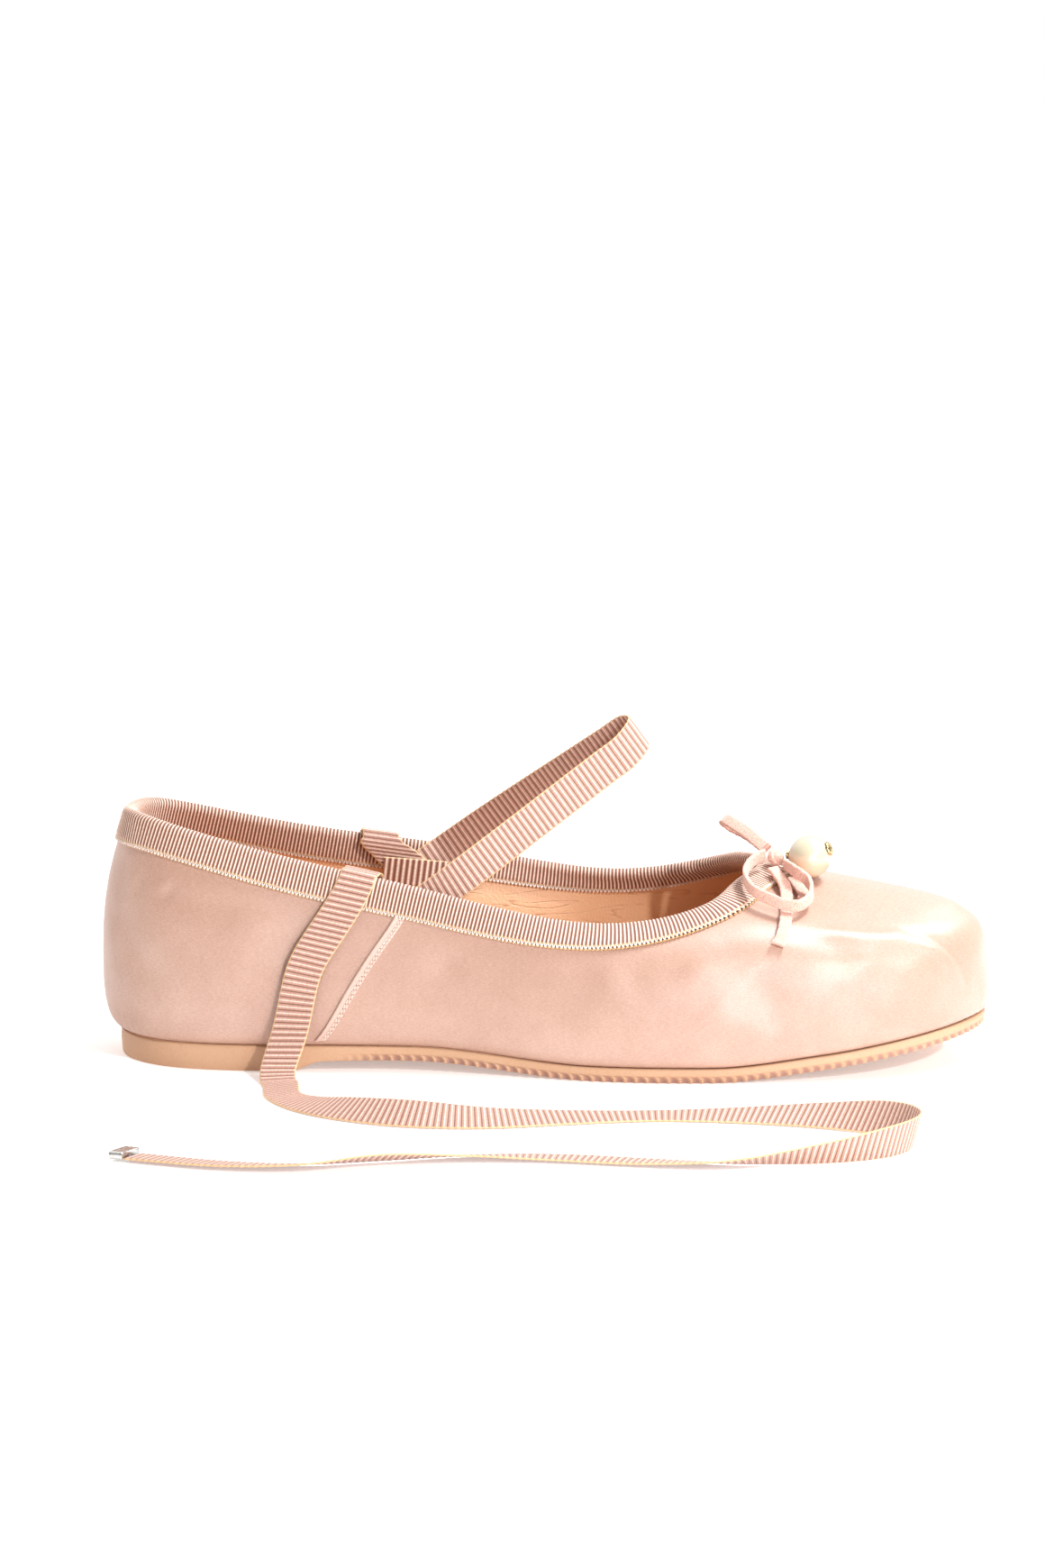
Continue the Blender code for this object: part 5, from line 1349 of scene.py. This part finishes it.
def set_camera():
    """The camera at the photograph's angle, level but for a slight roll."""
    turn, rise, roll = np.radians([CAMERA_TURN_DEG, CAMERA_RISE_DEG, CAMERA_ROLL_DEG])
    back = np.array([np.sin(turn) * np.cos(rise), -np.cos(turn) * np.cos(rise), np.sin(rise)])
    right = np.array([np.cos(turn), np.sin(turn), 0.0])
    up = np.cross(back, right)
    rolled_right = right * np.cos(roll) + up * np.sin(roll)
    rolled_up = np.cross(back, rolled_right)
    place = np.array(CAMERA_AIM) + back * CAMERA_FAR
    place = place + rolled_right * CAMERA_SHIFT[0] + rolled_up * CAMERA_SHIFT[1]
    data = bpy.data.cameras.new("photo_camera")
    data.lens = CAMERA_LENS
    data.clip_start, data.clip_end = 0.05, 50.0
    camera = bpy.data.objects.new("photo_camera", data)
    bpy.context.scene.collection.objects.link(camera)
    axes = Matrix([rolled_right, rolled_up, back]).transposed()
    camera.matrix_world = Matrix.Translation((place * MM).tolist()) @ axes.to_4x4()
    bpy.context.scene.camera = camera


def set_stage():
    """A white floor, light from behind, above and the heel's side, a sun from the right and
    front, a small box over the toe that draws the bow's shadow, and a larger one beside the
    toe."""
    mesh = bpy.data.meshes.new("white_floor")
    mesh.from_pydata([(-6, -6, 0), (6, -6, 0), (6, 6, 0), (-6, 6, 0)], [], [[0, 1, 2, 3]])
    mesh.materials.append(studio_white())
    floor = bpy.data.objects.new("white_floor", mesh)
    bpy.context.scene.collection.objects.link(floor)
    world = bpy.data.worlds.new("white_surroundings")
    world.use_nodes = True
    tree = world.node_tree
    way = add(tree, "ShaderNodeTexCoord").outputs["Generated"]
    parts = add(tree, "ShaderNodeSeparateXYZ", {"Vector": way}).outputs
    total = 0.0
    for axis, start, end, strength in ROUND_LIGHT:
        lit = add(tree, "ShaderNodeMapRange", {"Value": parts[axis], "From Min": start,
                                               "From Max": end, "To Max": strength}, **SMOOTH)
        total = add(tree, "ShaderNodeMath", {0: lit, 1: total})
    tree.links.new(total.outputs["Value"], tree.nodes["Background"].inputs["Strength"])
    tree.nodes["Background"].inputs["Color"].default_value = linear("#FFFFFF")
    bpy.context.scene.world = world
    key = bpy.data.lights.new("key", "SUN")
    key.energy = KEY_STRENGTH
    key.angle = np.radians(KEY_ANGLE_DEG)
    lamps = [(key, np.zeros(3), KEY_WAY)]
    for name, place, size, watts in SOFTBOXES:
        soft = bpy.data.lights.new(name, "AREA")
        soft.energy, soft.size, soft.color = watts, size * MM, SOFTBOX_COLOUR
        lamps.append((soft, np.array(place), np.subtract(place, SOFTBOX_AIM)))
    for light, place, way in lamps:
        lamp = bpy.data.objects.new(light.name, light)
        back = unit(np.array(way))
        right = unit(np.cross([0.0, 0.0, 1.0], back))
        turn = Matrix([right, np.cross(back, right), back]).transposed().to_4x4()
        lamp.matrix_world = Matrix.Translation((place * MM).tolist()) @ turn
        lamp.visible_camera = False
        bpy.context.scene.collection.objects.link(lamp)
    bpy.context.scene.view_settings.view_transform = "Standard"


def make_seam(side, satin):
    """A side seam: a rounded fold along its rear edge and a flat edge with two stitched rows.
    Returns the piece and the stitches' places."""
    at_top, at_foot = SEAM_AROUND[side]
    rear = -1.0 if side == "outer" else 1.0
    profile = wall_surface([at_top], FINE_STEPS)[:, 0]
    gone = lengths(profile)
    end = np.interp(gone[-1] - BINDING_DEPTH - CLEARANCE, gone, FINE_STEPS)
    outline = [
        # share of the half width, from the rear to the front, and height over the wall
        (-1.00, 0.04), (-1.03, 0.30), (-0.99, 0.62), (-0.86, 0.84), (-0.64, 0.90), (-0.42, 0.80),
        (-0.24, 0.58), (-0.10, 0.46), (0.06, 0.44), (0.22, 0.38), (0.38, 0.45), (0.54, 0.43),
        (0.70, 0.36), (0.84, 0.40), (0.96, 0.30), (1.00, 0.04),
    ]
    long = lengths(profile)[-1] * (end - SEAM_FOOT)
    count = int(long / SEAM_STITCH) * SEAM_SAMPLES + 1
    steps = np.linspace(SEAM_FOOT, end, count)
    sections, marks, stitches = [], [], []
    shares = np.array([row[0] for row in outline])
    heights = np.array([row[1] for row in outline])
    stitched = (np.abs(shares - 0.22) < 0.05) | (np.abs(shares - 0.70) < 0.05)
    middles = at_foot + (at_top - at_foot) * steps
    small = np.full(count, 1e-3)
    span = np.linalg.norm(wall_points(middles + small, steps)
                          - wall_points(middles - small, steps), axis=1)
    for number, step in enumerate(steps):
        half = SEAM_WIDTH / 2 * 2e-3 / span[number]
        places = middles[number] - rear * half * shares
        level = np.full(len(places), step)
        points, normals = wall_points(places, level), wall_facing(places, level)[0]
        hole = stitched * (0.5 + 0.5 * np.cos(2 * np.pi * number / SEAM_SAMPLES)) ** 3
        sections.append(points + normals * (heights - SEAM_HOLE_DEPTH * hole)[:, None])
        marks.append(hole)
        if number % SEAM_SAMPLES == SEAM_SAMPLES // 2:
            for row in np.flatnonzero(stitched):
                out = normals[row] * (heights[row] + SEAM_STITCH_OUT)
                stitches.append((points[row] + out, normals[row]))
    piece = strip_piece(f"seam_fold_{side}", np.array(sections), [satin],
                        marks={"hole": np.array(marks)})
    spots = np.array([row[0] for row in stitches])
    normals = np.array([row[1] for row in stitches])
    runs = np.gradient(spots.reshape(-1, 2, 3), axis=0).reshape(-1, 3)
    return piece, spots, runs, normals


def sole_columns():
    """Places round the sole with the same count on each side, each one's place in its rib from 0
    to 1, and how far the ribs have grown there from the breast of the heel."""
    sides, phases, grown = [], [], []
    breast = SOLE_LENGTH * SOLE_PROFILE[2][1]
    rib_count = None
    for end in (TOE_AROUND, TOE_AROUND - 1.0):
        fine = np.linspace(0, end, 1200)
        plan = feather(fine)[0]
        gone = lengths(plan)
        start = gone[np.argmax(plan[:, 0] > breast)]
        rib_count = rib_count or int(round((gone[-1] - start) / RIB_PITCH))
        ribbed = np.arange(rib_count * SOLE_SAMPLES)
        at = np.concatenate([
            np.linspace(0, start, HEEL_COLUMNS, endpoint=False),
            np.linspace(start, gone[-1], len(ribbed), endpoint=False),
        ])
        sides.append(np.interp(at, gone, fine))
        plain = np.zeros(HEEL_COLUMNS)
        phases.append(np.concatenate([plain, ribbed % SOLE_SAMPLES / SOLE_SAMPLES]))
        depth = np.clip(ribbed / SOLE_SAMPLES / RIBS_TO_FULL_DEPTH, 0, 1)
        grown.append(np.concatenate([plain, depth]))
    around = np.concatenate([sides[0], [TOE_AROUND], np.mod(sides[1][:0:-1], 1.0)])
    phase = np.concatenate([phases[0], [0.0], phases[1][:0:-1]])
    growth = np.concatenate([grown[0], [1.0], grown[1][:0:-1]])
    return around, phase, growth


def make_sole(rubber, tread):
    """The sole: a rounded smooth band over a notched edge, plain round the heel."""
    around, phase, growth = sole_columns()
    groove = np.sin(np.pi * phase) * growth
    girth = lengths(feather(around)[0])[-1]
    side = np.where(around < TOE_AROUND, 1.0, -1.0) * (around != TOE_AROUND)
    lean = side * (growth > 0) * RIB_SLANT / girth
    margin = SOLE_MARGIN
    rows = [
        # out on the ribbed part, out round the heel, share of the way down, groove share
        (margin - 1.2, margin - 1.2, 0.00, 0.0), (margin - 0.35, margin - 0.35, 0.00, 0.0),
        (margin - 0.08, margin - 0.08, 0.03, 0.0), (margin + 0.05, margin + 0.04, 0.10, 0.0),
        (margin + 0.10, margin + 0.08, 0.26, 0.0), (margin + 0.08, margin + 0.08, 0.42, 0.0),
        (margin - 0.02, margin + 0.05, 0.49, 0.0), (margin - 0.22, margin + 0.02, 0.54, 0.1),
        (margin - 0.16, margin - 0.02, 0.60, 0.55), (margin - 0.12, margin - 0.06, 0.70, 0.85),
        (margin - 0.20, margin - 0.12, 0.82, 1.0), (margin - 0.32, margin - 0.20, 0.93, 1.0),
        (margin - 0.50, margin - 0.36, 0.985, 1.0), (margin - 0.80, margin - 0.70, 1.00, 0.9),
    ]
    rings, marks = [], []
    for ribbed, plain, down, depth in rows:
        shifted = around + lean * depth
        out = plain + (ribbed - plain) * growth
        on_line, outward = feather(shifted)
        plan = on_line + outward * (out - groove * depth * RIB_DEPTH)[:, None]
        top, bottom = sole_top(on_line[:, 0]), sole_bottom(on_line[:, 0])
        rings.append(np.column_stack([plan, top + (bottom - top) * down]))
        # The groove mark paints shade: darker in the notches and in a thin line where the edge
        # steps in under the smooth band.
        marks.append(groove * depth + 0.35 * growth * np.exp(-((down - 0.54) / 0.05) ** 2))
    rings = np.stack(rings)
    count, length = rings.shape[:2]
    half = length // 2
    faces, slots = [], []
    for r in range(count - 1):
        for n in range(length):
            beside = (n + 1) % length
            faces.append([r * length + n, r * length + beside,
                          (r + 1) * length + beside, (r + 1) * length + n])
            slots.append(0)
    for start, slot in ((0, 0), ((count - 1) * length, 1)):
        for n in range(half):
            corners = [n, n + 1, length - n - 1, (length - n) % length]
            faces.append([start + c for c in dict.fromkeys(corners)])
            slots.append(slot)
    return new_piece("ribbed_sole", rings.reshape(-1, 3), faces, [rubber, tread], slots,
                     marks={"groove": np.stack(marks)})


# A ribbon's outline: share of the half width, share of the half thickness, how much of the rib's
# height shows there, and how much it is edge thread.
RIBBON_OUTLINE = [
    (-1.00, 0.0, 0.0, 1.0), (-0.975, 0.62, 0.4, 1.0), (-0.91, 1.0, 0.9, 0.5),
    (-0.84, 1.0, 1.0, 0.0), (-0.28, 1.0, 1.0, 0.0), (0.28, 1.0, 1.0, 0.0),
    (0.84, 1.0, 1.0, 0.0), (0.91, 1.0, 0.9, 0.5), (0.975, 0.62, 0.4, 1.0),
    (1.00, 0.0, 0.0, 1.0), (0.975, -0.62, 0.4, 1.0), (0.91, -1.0, 0.9, 0.5),
    (0.84, -1.0, 1.0, 0.0), (0.28, -1.0, 1.0, 0.0), (-0.28, -1.0, 1.0, 0.0),
    (-0.84, -1.0, 1.0, 0.0), (-0.91, -1.0, 0.9, 0.5), (-0.975, -0.62, 0.4, 1.0),
]


def ribbed_ribbon(name, points, across, finish, thickness=RIBBON_THICKNESS):
    """A grosgrain ribbon along a line, with ribs across both faces and looped edges. Returns the
    piece and its middle line."""
    long = lengths(points)[-1]
    ribs = int(round(long / RIBBON_RIB))
    rows = resampled(np.hstack([points, across]), ribs * RIB_SAMPLES + 1)
    points, across = rows[:, :3], rows[:, 3:]
    way = unit(np.gradient(points, axis=0))
    skin = unit(np.cross(way, across))
    phase = np.arange(len(points)) / RIB_SAMPLES
    rib = (0.5 - 0.5 * np.cos(2 * np.pi * phase)) ** 0.8
    sections, marks, edges = [], [], []
    for share, face, weight, edge in RIBBON_OUTLINE:
        thick = thickness / 2 * abs(face) - RIBBON_RIB_DEPTH * weight * (1 - rib)
        wide = share * (1 + 0.03 * edge * (rib - 0.7))
        sections.append(points + across * wide[:, None]
                        + skin * (np.sign(face) * np.maximum(thick, 0.02))[:, None])
        marks.append(rib)
        edges.append(np.full(len(points), edge))
    piece = strip_piece(name, np.stack(sections, axis=1), [finish],
                        marks={"rib": np.stack(marks, axis=1), "edge": np.stack(edges, axis=1)})
    return piece, points


def make_keeper(side, grosgrain):
    """The short tab inside the collar that holds the strap and the tie."""
    middle = STRAP_ALONG * SOLE_LENGTH - STRAP_TUCK
    offsets = np.linspace(-0.5, 0.5, 33) * KEEPER_LENGTH
    layer = TIE_LAYER + (RIBBON_THICKNESS + BINDING_THICKNESS) / 2 + 2 * CLEARANCE
    points, faces_to, runs = collar_layer(
        side, [(middle + s, KEEPER_DROP, 0) for s in offsets], layer)
    across = square_across(faces_to, runs, KEEPER_WIDTH)
    return ribbed_ribbon(f"keeper_tab_{side}", points, across, grosgrain, BINDING_THICKNESS)[0]


def make_crimp(side, points, across, metal):
    """The metal crimp on a tie's end: a folded plate with pressed grooves."""
    way = unit(points[-1] - points[-2])
    lift = (TIP_THICKNESS - RIBBON_THICKNESS) / 2 + np.abs(across[-1, 2]) * TIP_EDGE / RIBBON_WIDTH
    start = points[-1] + way * CLEARANCE + [0, 0, lift]
    skin = unit(np.cross(way, across[-1]))
    wide = unit(across[-1])
    turn = np.linspace(0, 2 * np.pi, 40, endpoint=False)
    sections = []
    for gone in np.linspace(0, 1, 41):
        end = min(gone, 1 - gone)
        size = 1 - 0.16 * np.exp(-((end / 0.04) ** 2))
        groove = 0.10 * np.exp(-((np.abs(gone - 0.5) - 0.17) / 0.05) ** 2)
        half = (RIBBON_WIDTH + TIP_EDGE) / 2 - TIP_EDGE / 2 * (1 - size) * 3
        thick = (TIP_THICKNESS / 2 - groove) * size
        corner = np.sign(np.cos(turn)) * np.abs(np.cos(turn)) ** 0.22
        height = np.sign(np.sin(turn)) * np.abs(np.sin(turn)) ** 0.5
        middle = start + way * TIP_LENGTH * gone
        sections.append(middle + np.outer(corner * half, wide) + np.outer(height * thick, skin))
    return strip_piece(f"crimp_end_{side}", np.array(sections), [metal], smooth_deg=60.0)


# A lace's outline: share of the half width and of the half thickness.
LACE_OUTLINE = [(-1.0, 0.0), (-0.98, 0.55), (-0.90, 0.9), (-0.7, 1.0), (0.0, 0.93), (0.7, 1.0),
                (0.90, 0.9), (0.98, 0.55), (1.0, 0.0), (0.98, -0.55), (0.90, -0.9), (0.7, -1.0),
                (0.0, -0.93), (-0.7, -1.0), (-0.90, -0.9), (-0.98, -0.55)]


def lace_piece(name, points, across, finish, frayed=False):
    """A flat lace along a line, with rounded edges and a slight waver."""
    rows = resampled(np.hstack([points, across]), 180)
    points, across = rows[:, :3], rows[:, 3:]
    way = unit(np.gradient(points, axis=0))
    skin = unit(np.cross(way, across)) * LACE_THICKNESS / 2
    gone = lengths(points)
    waver = 1 + 0.035 * np.sin(gone * 2.1) + 0.02 * np.sin(gone * 5.3 + 1.0)
    if frayed:
        waver = waver + 0.20 * np.exp(-(((gone[-1] - gone) / 0.9) ** 2))
    sections = np.stack([points + across * (share * waver)[:, None] + skin * thick
                         for share, thick in LACE_OUTLINE], axis=1)
    return strip_piece(name, sections, [finish]), points


def make_knot(lace):
    """The knot: a ball of lace with the turns of the wrap pressed into it."""
    rows, columns = 56, 72
    up = np.linspace(0, np.pi, rows)
    turn = np.linspace(0, 2 * np.pi, columns, endpoint=False)
    size = np.array([KNOT_LENGTH, KNOT_WIDTH, KNOT_HEIGHT]) / 2
    rings = []
    for angle in up[1:-1]:
        way = np.column_stack([np.sin(angle) * np.cos(turn), np.sin(angle) * np.sin(turn),
                               np.full(columns, np.cos(angle))])
        band = way @ unit(np.array([0.80, -0.50, 0.33]))
        cross = way @ unit(np.array([-0.25, 0.35, 0.90]))
        wrap = 1 / (1 + np.exp((np.abs(band) - 0.34) / 0.035))
        fold = 0.17 * (1 - wrap) + 0.05 * np.exp(-((np.abs(band) - 0.40) / 0.05) ** 2)
        fold += 0.05 * np.exp(-((cross - 0.25) / 0.08) ** 2) * (1 - wrap)
        fold += 0.025 * np.exp(-(band / 0.05) ** 2)
        rings.append(way * (1.0 - fold)[:, None] * size)
    points = np.vstack([np.concatenate(rings), [[0, 0, size[2]]], [[0, 0, -size[2]]]])
    count = len(rings)
    faces = [[r * columns + n, r * columns + (n + 1) % columns,
              (r + 1) * columns + (n + 1) % columns, (r + 1) * columns + n]
             for r in range(count - 1) for n in range(columns)]
    for n in range(columns):
        after = (n + 1) % columns
        faces.append([count * columns, n, after])
        faces.append([count * columns + 1, (count - 1) * columns + after,
                      (count - 1) * columns + n])
    return new_piece("lace_knot", points + knot_centre(), faces, [lace])


def turned_piece(name, profile, centre, axis, finish, sides=48, petals=0, smooth_deg=50.0):
    """A round piece from rows of radius and length along an axis, with scalloped edges if asked,
    closed at both ends."""
    axis = unit(np.asarray(axis, float))
    side = unit(np.cross(axis, [0.0, 0.3, 1.0]))
    other = np.cross(axis, side)
    turn = np.linspace(0, 2 * np.pi, sides, endpoint=False)
    petal = 0.10 * np.abs(np.cos(petals * turn / 2)) if petals else 0 * turn
    rings = []
    for radius, far in profile:
        reach = radius * (1 + petal * (radius > 0.6 * max(r for r, _ in profile)) - 0.05)
        rings.append(centre + axis * far + np.outer(reach * np.cos(turn), side)
                     + np.outer(reach * np.sin(turn), other))
    return strip_piece(name, np.stack(rings), [finish], smooth_deg=smooth_deg)


def make_pearl(nacre):
    """The pearl, a hair out of round, dimpled where it is drilled."""
    centre = pearl_centre()
    drilled = unit(np.asarray(PEARL_CAP_WAY))
    rows, columns = 72, 96
    up = np.linspace(0, np.pi, rows)
    turn = np.linspace(0, 2 * np.pi, columns, endpoint=False)
    side = unit(np.cross(drilled, [0.0, 0.3, 1.0]))
    other = np.cross(drilled, side)
    rings = []
    for angle in up[1:-1]:
        dip = 0.012 * np.exp(-((np.sin(angle) / 0.10) ** 2))
        swell = 0.004 * np.cos(2 * angle) - dip
        ring = (np.cos(angle) * drilled + np.outer(np.sin(angle) * np.cos(turn), side)
                + np.outer(np.sin(angle) * np.sin(turn), other))
        rings.append(centre + ring * PEARL_DIAMETER / 2 * (1 + swell))
    return strip_piece("round_pearl", np.stack(rings), [nacre], smooth_deg=180.0)


def pearl_centre():
    """The middle of the pearl."""
    spot = over_vamp([(*PEARL_PLACE, 0.0)])[0][0]
    return spot + [0, 0, PEARL_DIAMETER / 2 * PEARL_SEAT + CLEARANCE]


def make_ring(name, centre, facing, radius, thick, finish):
    """A small wire ring."""
    facing = unit(np.asarray(facing, float))
    side = unit(np.cross(facing, [0.3, 0.1, 1.0]))
    other = np.cross(facing, side)
    faces, points = [], []
    around, tube = 40, 12
    for n in range(around):
        turn = 2 * np.pi * n / around
        out = np.cos(turn) * side + np.sin(turn) * other
        for m in range(tube):
            bend = 2 * np.pi * m / tube
            points.append(centre + out * (radius + thick / 2 * np.cos(bend))
                          + facing * thick / 2 * np.sin(bend))
            after, beside = (n + 1) % around, (m + 1) % tube
            faces.append([n * tube + m, n * tube + beside, after * tube + beside,
                          after * tube + m])
    return new_piece(name, np.array(points), faces, [finish])


def add_ties(grosgrain_finish, metal):
    """Both ankle ties, laid on the floor, each with its crimped end."""
    for side in ("outer", "inner"):
        points, across = tie_line(side)
        tie, line = ribbed_ribbon(f"ankle_ribbon_{side}", points, across, grosgrain_finish)
        put(tie, "rose_grosgrain", f"ankle_tie_{side}")
        crimp = make_crimp(side, points, across, metal)
        put(crimp, "silver_metal", f"tie_tip_{side}")


def add_bow(lace, gold):
    """The bow: knot, two loops and two tails of flat lace, and the little ring beside it."""
    knot = put(make_knot(lace), "pale_pink_lace", "bow_knot")
    made, lines = {}, {}
    for side, rows in BOW_LOOPS.items():
        line = open_spline(over_vamp(rows)[0], 240)
        way = unit(np.gradient(line, axis=0))
        edge = np.array([LOOP_EDGE[side]]) - way * (way @ LOOP_EDGE[side])[:, None]
        name = f"loop_{side}"
        made[name], lines[name] = lace_piece(f"lace_loop_{side}", line,
                                             unit(edge) * LACE_WIDTH / 2, lace)
        put(made[name], "pale_pink_lace", f"bow_loop_{side}")
    for side, rows in BOW_TAILS.items():
        points, normals = over_vamp(rows, along_normal=True)
        both = open_spline(np.hstack([points, normals]), 140)
        across = square_across(both[:, 3:], unit(np.gradient(both[:, :3], axis=0)), LACE_WIDTH)
        name = f"tail_{side}"
        made[name], lines[name] = lace_piece(f"lace_tail_{side}", both[:, :3], across, lace,
                                             frayed=True)
        put(made[name], "pale_pink_lace", f"bow_tail_{side}")
    spot, normal = on_vamp([GOLD_RING_PLACE])
    ring = make_ring("gold_ring", spot[0] + normal[0] * GOLD_RING_LIFT, GOLD_RING_WAY,
                     GOLD_RING_RADIUS, GOLD_RING_WIRE, gold)
    put(ring, "silver_metal")


def add_pearl(pearl_finish, metal):
    """The pearl, its cap and its post."""
    put(make_pearl(pearl_finish), "cream_pearl", "pearl")
    centre = pearl_centre()
    near = PEARL_DIAMETER / 2 + CLEARANCE
    cap = PEARL_CAP_DIAMETER / 2
    profile = [(cap * 0.90, near - 0.42), (cap * 1.0, near - 0.36), (cap * 1.0, near - 0.05),
               (cap * 0.90, near + 0.25), (cap * 0.62, near + 0.48), (cap * 0.34, near + 0.60),
               (cap * 0.30, near + 0.68), (cap * 0.12, near + 0.72)]
    put(turned_piece("pearl_bead_cap", profile, centre, PEARL_CAP_WAY, metal, petals=8),
        "silver_metal", "pearl_cap")
    way = knot_centre() + [0, 0, PIN_RISE] - centre
    reach = np.linalg.norm(way) - KNOT_LENGTH / 2 - 2 * CLEARANCE
    foot, thin = PIN_FOOT / 2, PIN_DIAMETER / 2
    profile = [(foot * 0.9, near - 0.40), (foot, near - 0.25), (foot, near + 0.15),
               (foot * 0.8, near + 0.34), (thin, near + 0.46), (thin, reach + 0.6)]
    put(turned_piece("pearl_post", profile, centre, way, metal), "silver_metal", "pearl_pin")


def main():
    """Makes the camera, the cords, the other pieces and the stage."""
    set_camera()
    # Groove colour first, a painted shade; crest colour third, a painted highlight.
    ribbon = grosgrain("grosgrain_ribbon", ["#6E4436", "#BE8E7B", "#F6DACB", "#D6AA7A"],
                       (0.00, 0.34), (0.84, 1.00), 0.45)
    silver = plated("nickel_plate", "#D8D4CF", "#A8A39C", 0.20)
    add_ties(ribbon, silver)
    lace = lace_nap()
    gold = plated("gold_plate", "#E8B35A", "#B07A35", 0.22)
    add_bow(lace, gold)
    add_pearl(nacre(), plated("champagne_plate", "#D8BE8C", "#6E5534", 0.24))

    shell = satin("duchesse_satin")
    folded = satin("folded_satin", folded=True)
    lining = leather("lining_leather", "#EBBB93", "#DCA67C", 0.42)
    put(make_upper(shell, lining), "pink_satin", "upper")
    # Groove colour first, a painted shade; crest colour third, a painted highlight.
    binding = grosgrain("grosgrain_binding", ["#6E4030", "#B07C66", "#F7DECC", "#D6AC80"],
                        (0.0, 0.55), (0.60, 0.95), 0.40)
    put(make_binding(binding), "rose_grosgrain", "collar_binding")
    tree = thread_tree()
    cotton = thread("white_cotton", "#F6E6DB", "#D6B3A0", 0.75)
    linen = thread("straw_thread", "#DFB583", "#B48350", 0.85)
    for piece in sew_binding(tree, cotton, linen):
        put(piece, "rose_grosgrain")
    for side in ("outer", "inner"):
        seam, spots, runs, normals = make_seam(side, folded)
        put(seam, "pink_satin", f"side_seam_{side}")
        stitches = sew(f"seam_stitches_{side}", tree, spots, runs, normals, SEAM_LOOP, cotton)
        put(stitches, "pink_satin")
        put(make_keeper(side, binding), "rose_grosgrain", f"keeper_{side}")
    put(make_sole(rubber("crepe_rubber"), rubber("crepe_rubber_tread", treaded=True)),
        "tan_rubber", "outsole")
    strap = ribbed_ribbon("instep_ribbon", *strap_line(), ribbon)[0]
    put(strap, "rose_grosgrain", "instep_strap")
    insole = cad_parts["insole"]
    insole.data.materials.clear()
    insole.data.materials.append(leather("insole_leather", "#D69C72", "#C48860", 0.12))

    set_stage()


main()
